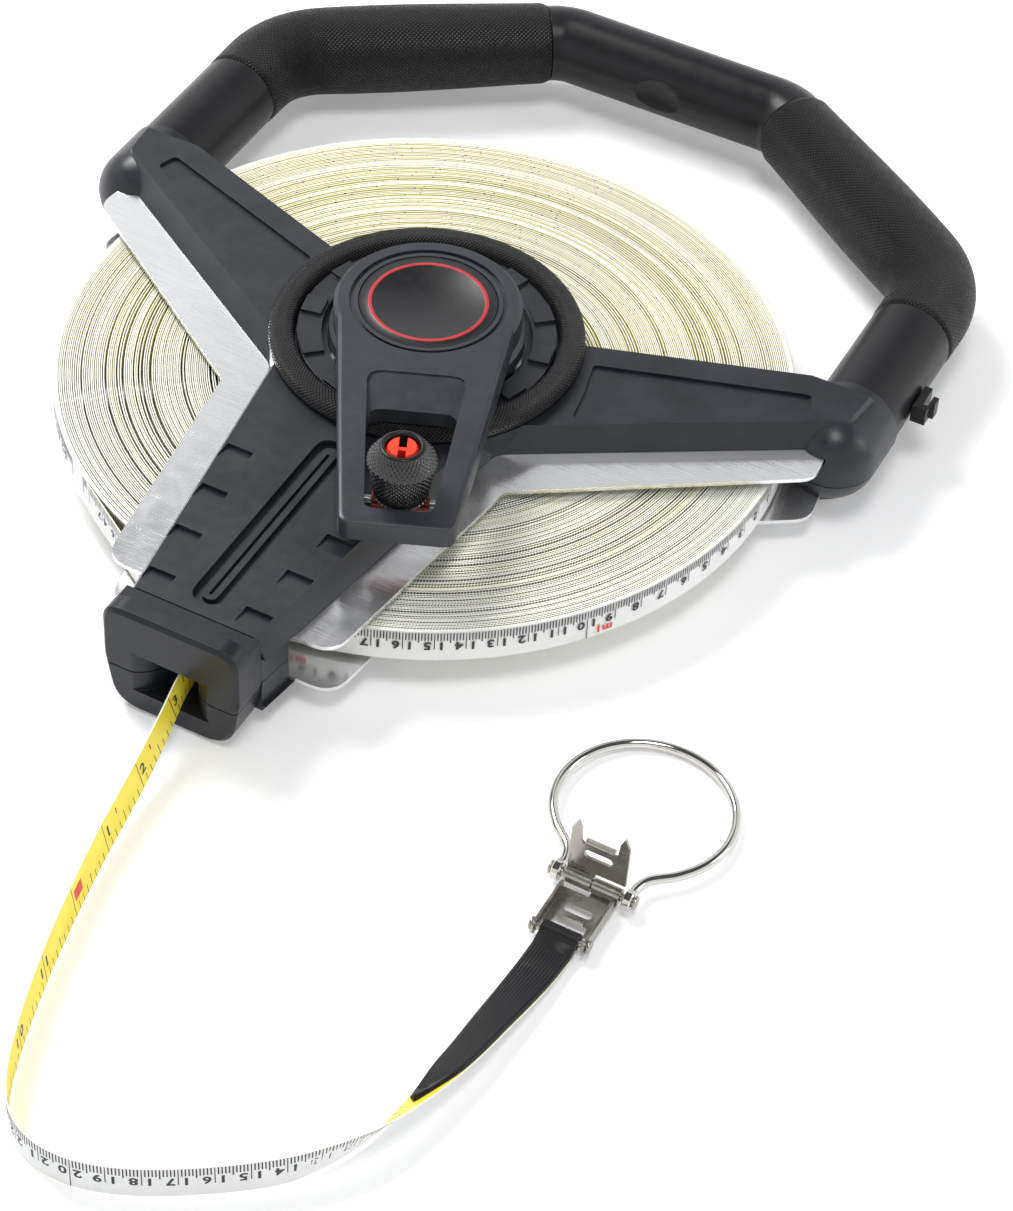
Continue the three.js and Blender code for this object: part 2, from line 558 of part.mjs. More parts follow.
// ---- knob -------------------------------------------------------------------------------
/** The red post: a hinge barrel, a spindle through the knob, and a split snap-in head. */
function knobPost() {
  const barrel = solid(alongX(rod(2.7, -9.2, 9.2, 20)).translate(0, 0, KNOB_PIN_Z));
  const spindle = solid(turned([[0, KNOB_PIN_Z], [4, KNOB_PIN_Z], [4, KNOB_TOP - 3.4],
    [5.15, KNOB_TOP - 3.4], [5.15, KNOB_TOP - 1.6], [4.4, KNOB_TOP - 0.6], [0, KNOB_TOP - 0.6]], 24));
  const split = cut(solid(box(-1.3, 1.3, -8, 8, KNOB_TOP - 12, KNOB_TOP + 1)),
    solid(box(-2, 2, -0.8, 0.8, KNOB_TOP - 13, KNOB_TOP - 1.6)));
  const pinHole = solid(alongX(rod(1.7, -20, 20, 16)).translate(0, 0, KNOB_PIN_Z));
  return cut(join(barrel, spindle), split, pinHole).translate([0, -KNOB_REACH, 0]);
}

function knobGrip() {
  const [base, top] = [KNOB_BASE_Z, KNOB_TOP];
  return turned([[4.3, base], [7.8, base], [8.8, base + 1], [9.4, base + 5], [10.2, base + 10],
    [11.1, base + 13.6], [11.4, base + 14.9], [11, base + 16.2], [9.2, top - 2.6], [7.3, top - 0.5],
    [6.4, top], [5.5, top - 1], [5.5, top - 3.7], [4.3, top - 3.7]], 32)
    .translate(0, -KNOB_REACH, 0);
}

// ---- tape -------------------------------------------------------------------------------
/** A flat strip along a curve, its width turned from upright by leanAt(0..1), in degrees. */
function ribbon(curve, leanAt, steps, halfWidthAt, thickness, rise = 0) {
  const bar = new THREE.BoxGeometry(2, 1, 1, 1, 1, steps);
  const place = bar.attributes.position;
  const up = new THREE.Vector3(0, 0, 1);
  for (let i = 0; i < place.count; i += 1) {
    const t = THREE.MathUtils.clamp(place.getZ(i) + 0.5, 0, 1);
    const tangent = curve.getTangentAt(t);
    const side = new THREE.Vector3().crossVectors(tangent, up).normalize();
    const lean = THREE.MathUtils.degToRad(leanAt(t));
    const level = new THREE.Vector3().crossVectors(side, tangent).normalize();
    const width = level.multiplyScalar(Math.cos(lean)).addScaledVector(side, Math.sin(lean));
    const normal = new THREE.Vector3().crossVectors(tangent, width);
    const point = curve.getPointAt(t)
      .addScaledVector(width, place.getX(i) * halfWidthAt(t))
      .addScaledVector(normal, place.getY(i) * thickness + rise);
    place.setXYZ(i, point.x, point.y, point.z);
  }
  return bar;
}

function interpolate(values) {
  return (t) => {
    const place = t * (values.length - 1);
    const i = Math.min(Math.floor(place), values.length - 2);
    return THREE.MathUtils.lerp(values[i], values[i + 1], place - i);
  };
}

/** The lean at a fraction of a route's length, from the leans of its points. */
function leanAlong(curve, route) {
  const lengths = curve.getLengths((route.length - 1) * 20);
  const total = lengths[lengths.length - 1];
  const marks = route.map((_, i) => lengths[i * 20] / total);
  return (t) => {
    const i = Math.min(Math.max(marks.findIndex((mark) => mark > t) - 1, 0), marks.length - 2);
    const last = marks[marks.length - 1] <= t ? marks.length - 2 : i;
    const share = (t - marks[last]) / (marks[last + 1] - marks[last]);
    return THREE.MathUtils.lerp(route[last][3], route[last + 1][3], share);
  };
}

const alongRoute = (route) => new THREE.CatmullRomCurve3(
  route.map(([x, y, z]) => new THREE.Vector3(x, y, z)), false, "centripetal");

function payoutTape() {
  const curve = alongRoute(TAPE_ROUTE);
  return ribbon(curve, leanAlong(curve, TAPE_ROUTE), 80, () => TAPE_WIDTH / 2, TAPE_THICKNESS);
}

/** The tape between the wound pack and the mouth, straight from the pack's edge. */
function innerTape() {
  const end = new THREE.Vector3(1.1, -149.2, TAPE_EXIT_Z);
  const reach = PACK_RADIUS + 1.2;
  const distance = Math.hypot(end.x, end.y);
  const bearing = Math.atan2(end.y, end.x) - Math.acos(reach / distance);
  const start = new THREE.Vector3(reach * Math.cos(bearing), reach * Math.sin(bearing), MID_Z);
  const curve = new THREE.LineCurve3(start, end);
  return ribbon(curve, interpolate([0, 0]), 8, () => TAPE_WIDTH / 2, TAPE_THICKNESS);
}

// ---- end hook ---------------------------------------------------------------------------
const atPin = (body, y, z) => body.translate([HOOK_X, y, z]);
const crossRod = (radius, x0, x1, sides = 20) => solid(alongX(rod(radius, x0, x1, sides)));

/** The black sleeve moulded over the tape's end: pointed, and looped round the tape pin. */
function tapeLeader() {
  const route = [[138.2, -249.6, 5.2, 47], ...TAPE_ROUTE.slice(-6),
    [HOOK_X, TAPE_PIN_Y - 1, TAPE_PIN_Z - 0.6, 90]];
  const curve = alongRoute(route);
  const halfWidth = (t) => (t > 0.3 ? 6.1 : interpolate([0.9, 4, 5.5, 6.1])(t / 0.3));
  const sleeve = ribbon(curve, leanAlong(curve, route), 20, halfWidth, 1.2, -1.3);
  const loop = atPin(crossRod(2.7, -6.2, 6.2), TAPE_PIN_Y, TAPE_PIN_Z);
  const pinHole = atPin(crossRod(1.6, -20, 20, 16), TAPE_PIN_Y, TAPE_PIN_Z);
  return cut(join(solid(sleeve), loop), pinHole);
}

/** A slab whose shape is drawn in (Y, Z) and which is thick along X. */
const sideSlab = (shape, x0, x1) =>
  solid(slab(shape, x0, x1, 5).rotateX(Math.PI / 2).rotateZ(Math.PI / 2));

const PLATE_THICKNESS = 0.9;
const KNUCKLE_RADIUS = 2.5;
const LINK_BASE = 1.6;
const LINK_HALF_WIDTH = 8.8;

/** The channel between the tape pin and the hinge pin. */
function linkFrame() {
  const floorTop = LINK_BASE + PLATE_THICKNESS;
  const w = LINK_HALF_WIDTH;
  const floor = solid(box(-w, w, -176.9, -162.2, LINK_BASE, floorTop));
  const sides = [-w, w - PLATE_THICKNESS].map((x) => sideSlab(
    outline([[-183.3, LINK_BASE, 2.2], [-162.6, LINK_BASE, 0.5], [-162.6, 6.4, 1.5],
      [-183.3, 6.6, 2.2]]), x, x + PLATE_THICKNESS));
  const web = solid(box(0.3, w, -163, HINGE_PIN_Y, LINK_BASE, floorTop));
  const knuckle = crossRod(KNUCKLE_RADIUS, 0.3, 9.3).translate([0, HINGE_PIN_Y, HINGE_PIN_Z]);
  const tab = solid(box(-4, 4, -173.4, -172.6, LINK_BASE, floorTop + 1.4));
  const slot = solid(slab(rectangle(-4.6, -170.2, 4.6, -167.2, 1.49), 0, 5));
  const opening = solid(box(-5.4, 5.4, -180, -173.4, 0, 5));
  const pins = [[TAPE_PIN_Y, TAPE_PIN_Z], [HINGE_PIN_Y, HINGE_PIN_Z]].map(([y, z]) =>
    crossRod(1.6, -20, 20, 16).translate([0, y, z]));
  return cut(join(cut(floor, opening), ...sides, web, knuckle, tab), slot, ...pins)
    .translate([HOOK_X, 0, 0]);
}

/** The plate with two spikes, standing up from its own half of the hinge. */
function forkPlate() {
  const lean = 3;
  const w = 9.6;
  const face = outline([[-w, -0.5], [-0.3, -0.5], [-0.3, 3], [w, 3], [w, 18.6], [7.8, 22.6],
    [6.4, 19.6], [6, 14.4], [5, 13.6], [-5, 13.6], [-6, 14.4], [-6.4, 19.6], [-7.8, 22.6],
    [-w, 18.6]]);
  const plate = solid(slab(face, -2.5, -2.5 + 1).rotateX(Math.PI / 2));
  const slot = solid(slab(rectangle(-4.7, 8.6, 4.7, 11.8, 1.59), -4, 0).rotateX(Math.PI / 2));
  const roll = crossRod(1.1, -4.8, 4.8, 12).translate([0, 2.6, 14.2]);
  const knuckle = crossRod(KNUCKLE_RADIUS, -9.3, -0.3);
  const pin = crossRod(1.6, -20, 20, 16);
  return atPin(cut(join(plate, roll, knuckle), slot, pin).rotate([-lean, 0, 0]),
    HINGE_PIN_Y, HINGE_PIN_Z);
}

/** The pull ring: a round loop of wire whose kinked ends hold the hinge pin. */
function pullRing() {
  const [low, high] = [RING_WIRE_RADIUS + 0.3, HINGE_PIN_Z];
  const centre = RING_CENTRE_Y - HINGE_PIN_Y;
  const far = centre + RING_RADIUS;
  const height = (y) => THREE.MathUtils.lerp(high, low, Math.max(0, y / far));
  const neck = [[11.8, 2.4], [12, 5.4], [13.6, 9.8]];
  const bow = Array.from({ length: 15 }, (_, i) => {
    const angle = THREE.MathUtils.degToRad(-43 + (i * 266) / 14);
    return [RING_RADIUS * Math.cos(angle), centre + RING_RADIUS * Math.sin(angle)];
  });
  const line = [...neck, ...bow, ...neck.toReversed().map(([x, y]) => [-x, y])];
  const curve = new THREE.CatmullRomCurve3(
    line.map(([x, y]) => new THREE.Vector3(x, y, height(y))), false, "centripetal");
  const section = new THREE.Shape();
  section.absarc(0, 0, RING_WIRE_RADIUS, 0, 2 * Math.PI);
  const wire = solid(new THREE.ExtrudeGeometry(section, {
    steps: 56, extrudePath: curve, bevelEnabled: false, curveSegments: 5,
  }));
  const eyes = [-1, 1].map((side) => crossRod(3.3, side * 11.9 - 1.4, side * 11.9 + 1.4));
  const pin = crossRod(1.6, -20, 20, 16);
  return atPin(cut(join(wire, ...eyes.map((eye) => eye.translate([0, 0, HINGE_PIN_Z]))),
    pin.translate([0, 0, HINGE_PIN_Z])), HINGE_PIN_Y, 0);
}

/** A pin across the hook with a flat head outside whatever it holds. */
function headedPin(radius, headRadius, reach, headHeight) {
  return alongX(turned([[0, -reach], [headRadius, -reach], [headRadius, -reach + headHeight],
    [radius, -reach + headHeight], [radius, reach - headHeight], [headRadius, reach - headHeight],
    [headRadius, reach], [0, reach]], 20));
}

// ---- assembly: frame --------------------------------------------------------------------
piece("top_cover", topCover(), COVER_PLASTIC);
piece("bottom_cover", bottomCover(), COVER_PLASTIC);
piece("top_guard_plate", guardPlate(GUARD_TOP - GUARD_THICKNESS, 24), BRUSHED_STEEL);
piece("bottom_guard_plate", guardPlate(GUARD_BOTTOM, 15.5), BRUSHED_STEEL);
piece("mouth_upper", mouthHalf(MOUTH_SPLIT + GAP / 2, 60), SMOOTH_PLASTIC);
piece("mouth_lower", mouthHalf(-5, MOUTH_SPLIT - GAP / 2), SMOOTH_PLASTIC);
piece("hub_ring", hubRing(), GRIP_RUBBER);
piece("hub_bezel", hubBezel(), COVER_PLASTIC);
piece("axle", axle(), DARK_STEEL);
SCREWS.forEach((screw, i) => piece(`cover_screw_${i + 1}`, coverScrew(screw), DARK_STEEL));

const leg = handleLeg();
piece("right_leg", leg, SMOOTH_PLASTIC);
piece("left_leg", mirrorX(leg), SMOOTH_PLASTIC);
const rightGrip = grip();
piece("right_grip", rightGrip, GRIP_RUBBER);
piece("left_grip", mirrorX(rightGrip), GRIP_RUBBER);
piece("handle_centre", handleCentre(), SMOOTH_PLASTIC);
piece("ring_park", ringPark(), SMOOTH_PLASTIC);

// ---- assembly: reel and crank -----------------------------------------------------------
const turning = new THREE.Group();
turning.rotation.z = CRANK_ANGLE;
group.add(turning);
piece("spool", spool(), SPOOL_PLASTIC, turning);
piece("lower_bush", bush(GUARD_BOTTOM + 2.6, GUARD_BOTTOM + 8), DARK_STEEL);
piece("upper_bush", bush(28, 34), DARK_STEEL);
piece("tape_pack", turned([[CORE_RADIUS, PACK_LOW], [PACK_RADIUS, PACK_LOW],
  [PACK_RADIUS, PACK_HIGH], [CORE_RADIUS, PACK_HIGH]], 72), WHITE_TAPE);
piece("crank_screw", crankScrew(), DARK_STEEL);
piece("label_disc", labelDisc(), LABEL_FILM);

piece("crank_arm", crankArm(), CRANK_PLASTIC, turning);
piece("knob_pin", knobPin(), DARK_STEEL, turning);
piece("knob_post", knobPost(), RED_PLASTIC, turning);
piece("knob_grip", knobGrip(), GRIP_RUBBER, turning);

// ---- assembly: tape and end hook --------------------------------------------------------
piece("inner_tape", innerTape(), WHITE_TAPE);
piece("payout_tape", payoutTape(), WHITE_TAPE);
piece("tape_leader", tapeLeader(), SMOOTH_PLASTIC);
piece("tape_pin", headedPin(1.3, 2.1, 9.9, 0.8).translate(HOOK_X, TAPE_PIN_Y, TAPE_PIN_Z), NICKEL);
piece("link_frame", linkFrame(), NICKEL);
piece("hinge_pin", headedPin(1.3, 2.2, 14.5, 0.8).translate(HOOK_X, HINGE_PIN_Y, HINGE_PIN_Z),
  NICKEL);
piece("fork_plate", forkPlate(), NICKEL);
piece("pull_ring", pullRing(), NICKEL);

export default group;
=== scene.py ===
"""Looks of a surveyor's open-reel tape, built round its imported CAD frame."""

import math
import random

import bmesh
import bpy
from mathutils import Matrix, Vector


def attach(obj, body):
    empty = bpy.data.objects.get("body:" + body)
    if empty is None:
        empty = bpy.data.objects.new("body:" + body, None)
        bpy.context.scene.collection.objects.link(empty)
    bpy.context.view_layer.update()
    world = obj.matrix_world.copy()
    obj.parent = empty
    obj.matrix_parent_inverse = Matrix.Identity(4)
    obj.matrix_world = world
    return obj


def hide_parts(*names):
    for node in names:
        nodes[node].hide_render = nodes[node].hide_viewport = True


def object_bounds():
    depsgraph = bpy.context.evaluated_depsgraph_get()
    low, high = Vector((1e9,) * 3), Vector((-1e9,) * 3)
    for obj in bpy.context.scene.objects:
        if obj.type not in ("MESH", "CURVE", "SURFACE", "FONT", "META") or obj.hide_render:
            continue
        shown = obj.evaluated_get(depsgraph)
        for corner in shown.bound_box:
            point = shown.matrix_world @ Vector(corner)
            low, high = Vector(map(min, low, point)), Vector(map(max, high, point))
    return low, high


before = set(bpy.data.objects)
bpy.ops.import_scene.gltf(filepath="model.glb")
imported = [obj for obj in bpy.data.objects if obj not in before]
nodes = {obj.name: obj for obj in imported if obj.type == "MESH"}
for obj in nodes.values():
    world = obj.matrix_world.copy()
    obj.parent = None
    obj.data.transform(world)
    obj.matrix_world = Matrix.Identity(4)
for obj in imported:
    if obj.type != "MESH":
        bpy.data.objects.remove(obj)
cad_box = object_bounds()
MM = 0.001
TURN = 2 * math.pi
SHARPEST_SMOOTH_EDGE = 28           # degrees; a CAD edge sharper than this gets rounded


# ---- camera -----------------------------------------------------------------------------
CAMERA_LENS, CAMERA_SENSOR = 96.17, 36                  # mm
CAMERA_AT = (0.3780, -0.7337, 0.7522)                   # m
CAMERA_RIGHT, CAMERA_BACK = (0.8841, 0.4649, 0.0471), (0.2959, -0.6349, 0.7137)


def add_camera():
    camera = bpy.data.objects.new("camera", bpy.data.cameras.new("camera"))
    bpy.context.scene.collection.objects.link(camera)
    camera.data.sensor_width = CAMERA_SENSOR
    camera.data.lens = CAMERA_LENS
    camera.data.clip_start, camera.data.clip_end = 0.05, 50
    right, back = Vector(CAMERA_RIGHT).normalized(), Vector(CAMERA_BACK).normalized()
    up = back.cross(right)
    camera.matrix_world = Matrix.Translation(CAMERA_AT) @ Matrix(
        (right, up, back)).transposed().to_4x4()
    bpy.context.scene.camera = camera


add_camera()


# ---- helpers: meshes --------------------------------------------------------------------
def new_object(name, data):
    piece = bpy.data.objects.new(name, data)
    bpy.context.scene.collection.objects.link(piece)
    return piece


def mesh_piece(name, points, faces, materials, indices=None, uvs=None, angle=30, tidy=True):
    """A mesh object from points in millimetres; uvs holds a (u, v) for each face corner."""
    mesh = bpy.data.meshes.new(name)
    mesh.from_pydata([Vector(p) * MM for p in points], [], faces)
    for material in materials:
        mesh.materials.append(material)
    if indices:
        mesh.polygons.foreach_set("material_index", indices)
    if uvs:
        layer = mesh.uv_layers.new(name="map")
        layer.data.foreach_set("uv", [c for pair in uvs for c in pair])
    mesh.update()
    if tidy:
        work = bmesh.new()
        work.from_mesh(mesh)
        bmesh.ops.remove_doubles(work, verts=work.verts, dist=1e-7)
        bmesh.ops.recalc_face_normals(work, faces=work.faces)
        work.to_mesh(mesh)
        work.free()
    if angle:
        mesh.shade_smooth()
        mesh.set_sharp_from_angle(angle=math.radians(angle))
    return new_object(name, mesh)


def place(piece, body, slot, *replaced):
    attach(piece, body)
    if replaced:
        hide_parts(*replaced)
    return piece


def loft(sections):
    """Points and faces of a closed skin over rings of points, with a face at each end."""
    size = len(sections[0])
    points = [p for section in sections for p in section]
    faces = []
    count = len(sections)
    for i in range(count - 1):
        a, b = i * size, (i + 1) * size
        for k in range(size):
            faces.append((a + k, a + (k + 1) % size, b + (k + 1) % size, b + k))
    faces.append(tuple(range(size))[::-1])
    faces.append(tuple(range((count - 1) * size, count * size)))
    return points, faces


def grid_map(along, around):
    """A loft's map in millimetres, from places along it and places round each ring."""
    uvs = []
    for u0, u1 in zip(along, along[1:]):
        for v0, v1 in zip(around, around[1:]):
            uvs += [(u0, v0), (u0, v1), (u1, v1), (u1, v0)]
    return uvs + [(0, 0)] * (2 * (len(around) - 1))


def tube(name, line, radii, sides, material, pitch):
    """A round bar along a level line; the map fits whole pitches round it."""
    up = Vector((0, 0, 1))
    sections, along = [], [0.0]
    for i, centre in enumerate(line):
        tangent = (line[min(i + 1, len(line) - 1)] - line[max(i - 1, 0)]).normalized()
        side = tangent.cross(up).normalized()
        level = side.cross(tangent)
        sections.append([centre - level * math.cos(a) * radii[i] + side * math.sin(a) * radii[i]
                         for a in (TURN * k / sides for k in range(sides))])
        if i:
            along.append(along[-1] + (centre - line[i - 1]).length)
    points, faces = loft(sections)
    whole = round(TURN * max(radii) / pitch) * pitch
    around = [whole * k / sides for k in range(sides + 1)]
    return mesh_piece(name, points, faces, [material], uvs=grid_map(along, around), angle=50)


def ridge(place_along):
    """0 at each whole number and 1 half way between two."""
    return 1 - abs(2 * (place_along % 1) - 1)


def lathe(name, profile, sides, centre, materials, kinds, pitch, relief=0.0):
    """A closed profile of (radius, z) turned about a vertical axis; kinds picks each
    stretch's material, and relief cuts crossed grooves that deep into the first one."""
    rings, ring_kinds = [], []
    for k, (a, b) in enumerate(zip(profile, [*profile[1:], profile[0]])):
        steps = max(1, round(math.dist(a, b) / 0.36)) if relief and kinds[k] == 0 else 1
        rings += [(a[0] + (b[0] - a[0]) * i / steps, a[1] + (b[1] - a[1]) * i / steps)
                  for i in range(steps)]
        ring_kinds += [kinds[k]] * steps
    count = len(rings)
    heights = [0.0]
    for a, b in zip(rings, [*rings[1:], rings[0]]):
        heights.append(heights[-1] + math.dist(a, b))
    whole = round(TURN * max(r for r, _ in rings) / pitch) * pitch
    points, faces, uvs, indices = [], [], [], []
    for i in range(sides):
        angle, u = TURN * i / sides, whole * i / sides
        for k, (radius, z) in enumerate(rings):
            if relief and ring_kinds[k] == ring_kinds[k - 1] == 0:
                u_v, v_u = (u + heights[k]) / pitch, (u - heights[k]) / pitch
                radius -= relief * (1 - min(ridge(u_v), ridge(v_u)) ** 0.7)
            points.append((centre[0] + radius * math.cos(angle),
                           centre[1] + radius * math.sin(angle), z))
    for i in range(sides):
        j = (i + 1) % sides
        u0, u1 = whole * i / sides, whole * (i + 1) / sides
        for k in range(count):
            m = (k + 1) % count
            faces.append((i * count + k, j * count + k, j * count + m, i * count + m))
            uvs += [(u0, heights[k]), (u1, heights[k]), (u1, heights[k + 1]),
                    (u0, heights[k + 1])]
            indices.append(ring_kinds[k])
    return mesh_piece(name, points, faces, materials, indices, uvs, angle=50 if relief else 32)


def smooth_cad(name, material, width, dissolve=1.0, segments=2):
    """A CAD node shown as it is, with edges rounded by width and facets shaded smooth. Flat
    facets within dissolve degrees are joined first, or left alone if it is 0."""
    node = nodes[name]
    node.data.materials.clear()
    node.data.materials.append(material)
    node.data.shade_smooth()
    weld = node.modifiers.new("weld", "WELD")
    weld.merge_threshold = 0.00001
    if dissolve:
        flat = node.modifiers.new("flat", "DECIMATE")
        flat.decimate_type = "DISSOLVE"
        flat.angle_limit = math.radians(dissolve)
    bevel = node.modifiers.new("bevel", "BEVEL")
    bevel.width = width * MM
    bevel.segments = segments
    bevel.limit_method = "ANGLE"
    bevel.angle_limit = math.radians(SHARPEST_SMOOTH_EDGE)
    bevel.miter_outer = "MITER_ARC"
    even = node.modifiers.new("even", "WEIGHTED_NORMAL")
    even.weight = 80


# ---- helpers: materials -----------------------------------------------------------------
class Shader:
    """A material, and short calls that add nodes to it."""

    def __init__(self, name, **values):
        self.material = bpy.data.materials.new(name)
        self.material.use_nodes = True
        self.tree = self.material.node_tree
        self.surface = self.tree.nodes["Principled BSDF"]
        for socket, value in values.items():
            self.surface.inputs[socket.replace("_", " ")].default_value = value

    def node(self, kind, inputs=None, output=0, **settings):
        node = self.tree.nodes.new(kind)
        for key, value in settings.items():
            setattr(node, key, value)
        for key, value in (inputs or {}).items():
            if isinstance(value, bpy.types.NodeSocket):
                self.tree.links.new(value, node.inputs[key])
            else:
                node.inputs[key].default_value = value
        return node.outputs[output]

    def set(self, socket, value):
        self.tree.links.new(value, self.surface.inputs[socket])

    def coords(self, kind="Object"):
        return self.node("ShaderNodeTexCoord", output=kind)

    def ridges(self, value, pitch):
        """0 in the grooves and 1 on the ridges that cross value at every pitch."""
        beat = self.math("FRACT", self.math("DIVIDE", value, pitch))
        return self.math("SUBTRACT", 1.0, self.math("ABSOLUTE", self.math(
            "SUBTRACT", self.math("MULTIPLY", beat, 2.0), 1.0)))

    def math(self, operation, a, b=0.0):
        return self.node("ShaderNodeMath", {0: a, 1: b}, operation=operation)

    def stretched(self, scale, turn):
        return self.node("ShaderNodeMapping", {
            "Vector": self.coords(), "Scale": scale, "Rotation": turn})

    def noise(self, scale, detail=3.0, rough=0.5, vector=None):
        return self.node("ShaderNodeTexNoise", {
            "Vector": vector or self.coords(), "Scale": scale, "Detail": detail,
            "Roughness": rough})

    def span(self, value, low, high, start=0.0, end=1.0):
        """value from start..end to low..high."""
        return self.node("ShaderNodeMapRange", {
            "Value": value, "From Min": start, "From Max": end, "To Min": low, "To Max": high})

    def blend(self, factor, first, second):
        """Between two colours, each a tuple or a socket."""
        return self.node("ShaderNodeMix", {0: factor, 6: first, 7: second}, 2, data_type="RGBA")

    def bump(self, height, distance, strength=1.0, normal=None):
        inputs = {"Height": height, "Distance": distance, "Strength": strength}
        if normal:
            inputs["Normal"] = normal
        result = self.node("ShaderNodeBump", inputs)
        self.set("Normal", result)
        return result


def moulded(name, colour, lighter, rough, grain, depth, gloss=0.5):
    """Moulded plastic: a fine grain, slightly uneven colour and gloss."""
    s = Shader(name, Specular_IOR_Level=gloss)
    s.set("Base Color", s.blend(s.span(s.noise(60, 4), 0, 1, 0.35, 0.65), colour, lighter))
    s.set("Roughness", s.span(s.noise(240, 5, 0.6), rough - 0.04, rough + 0.04, 0.3, 0.7))
    s.bump(s.noise(grain, 3, 0.6), depth * MM, 0.6)
    return s.material


def red_moulding():
    """Red plastic, painted a darker red low down round the hinge as painted shade, and bright at
    the snapped-in head.
    """
    s = Shader("red_plastic")
    height = s.node("ShaderNodeSeparateXYZ", {"Vector": s.coords()}).node.outputs[2]
    # From 62 mm down to 52 mm and below, the red is blended to a darker red: painted shade under
    # the knob.
    above_painted_shade = s.span(height, 0, 1, 0.052, 0.062)
    painted_shade_red = s.blend(s.noise(90, 4), (0.16, 0.004, 0.004, 1), (0.26, 0.008, 0.006, 1))
    bright = s.blend(s.noise(60, 4), (0.78, 0.035, 0.010, 1), (0.88, 0.055, 0.016, 1))
    s.set("Base Color", s.blend(above_painted_shade, painted_shade_red, bright))
    s.set("Roughness", s.span(s.noise(240, 5, 0.6), 0.26, 0.36, 0.3, 0.7))
    s.bump(s.noise(900, 3, 0.6), 0.01 * MM, 0.6)
    return s.material


COVER = moulded("cover_plastic", (0.0105, 0.0120, 0.0168, 1), (0.0195, 0.0215, 0.0278, 1),
                0.34, 1700, 0.04, 0.42)
MOUTH = moulded("mouth_plastic", (0.0090, 0.0102, 0.0142, 1), (0.0138, 0.0152, 0.0198, 1),
                0.35, 1700, 0.04, 0.34)
SMOOTH = moulded("smooth_plastic", (0.0075, 0.0076, 0.0088, 1), (0.0110, 0.0111, 0.0127, 1),
                 0.34, 2400, 0.02, 0.26)
CRANK = moulded("crank_plastic", (0.0230, 0.0254, 0.0330, 1), (0.0292, 0.0318, 0.0395, 1),
                0.34, 2000, 0.02, 0.44)
RED = red_moulding()
SPOOL = moulded("spool_plastic", (0.42, 0.43, 0.42, 1), (0.5, 0.5, 0.49, 1), 0.5, 1500, 0.02)
FILM = moulded("label_film", (0.0080, 0.0082, 0.0095, 1), (0.0100, 0.0102, 0.0115, 1),
               0.36, 500, 0.003, 0.36)
LABEL_RED = moulded("label_red", (0.40, 0.018, 0.026, 1), (0.48, 0.026, 0.034, 1), 0.36, 700,
                    0.004, 0.36)


def knurled(name, pitch, depth, rough=0.47, gloss=0.3, round_way=None, seam=None):
    """Black rubber cut with two sets of grooves that cross. round_way is the way round the
    piece in mm, and seam the distance of its two moulding lines from the underside."""
    s = Shader(name, Specular_IOR_Level=gloss)
    parts = s.node("ShaderNodeSeparateXYZ", {"Vector": s.coords("UV")})
    u, v = parts, parts.node.outputs[1]
    first = s.ridges(s.math("ADD", u, v), pitch)
    second = s.ridges(s.math("SUBTRACT", u, v), pitch)
    diamonds = s.math("POWER", s.math("MINIMUM", first, second), 0.9)
    if seam is not None:
        side = s.math("MINIMUM", v, s.math("SUBTRACT", round_way, v))
        away = s.math("ABSOLUTE", s.math("SUBTRACT", side, seam))
        diamonds = s.math("MULTIPLY", diamonds, s.span(away, 0, 1, 0.15, 0.6))
    wear = s.span(s.noise(140, 4), 0, 1, 0.35, 0.7)
    worn = s.blend(wear, (0.0160, 0.0164, 0.0190, 1), (0.0240, 0.0245, 0.0275, 1))
    # Where diamonds is 0, in the grooves and in the flat bands at the seams, the colour is
    # near-black: painted shade in the grooves.
    s.set("Base Color", s.blend(diamonds, (0.0020, 0.0020, 0.0024, 1), worn))
    s.set("Roughness", s.span(s.noise(300, 4), rough - 0.07, rough + 0.07, 0.3, 0.7))
    s.bump(diamonds, depth * MM, 1.0)
    return s.material


GRIP = knurled("grip_rubber", 1.7, 0.65, round_way=103.5, seam=20.0)
HUB_RUBBER = knurled("hub_rubber", 1.5, 0.5, 0.42, 0.4)
KNOB_RUBBER = moulded("knob_rubber", (0.0050, 0.0052, 0.0060, 1), (0.0085, 0.0087, 0.0098, 1),
                      0.19, 2000, 0.006, 0.8)


def sheet_metal(name, colour, rough, scratches, pits, metallic=1.0):
    """Sheet metal with fine scratches that run in several directions, and shallow pits."""
    s = Shader(name, Metallic=metallic)
    normal = s.bump(s.noise(1300, 3, 0.6), pits * MM, 0.5)
    for turn, length in ((0.6, 30), (-0.5, 36), (1.9, 44)):
        streaks = s.noise(1, 1, 0.5, s.stretched((length, 3800, 3800), (0, 0, turn)))
        sharp = s.span(streaks, 0, 1, 0.6, 0.75)
        normal = s.bump(sharp, scratches * MM, 0.4, normal)
    s.set("Base Color", s.blend(s.noise(45, 3), colour, tuple(c * 0.92 for c in colour[:3])
                                + (1,)))
    s.set("Roughness", s.span(s.noise(130, 5, 0.65), rough * 0.7, rough * 1.4, 0.3, 0.7))
    return s.material


GUARD = sheet_metal("guard_steel", (0.86, 0.865, 0.875, 1), 0.17, 0.014, 0.004, 0.86)
NICKEL = sheet_metal("nickel_plate", (0.66, 0.645, 0.61, 1), 0.08, 0.002, 0.0005)
STAMPED = sheet_metal("stamped_nickel", (0.42, 0.40, 0.365, 1), 0.27, 0.006, 0.004)
STEEL = sheet_metal("dark_steel", (0.30, 0.305, 0.31, 1), 0.35, 0.01, 0.004)


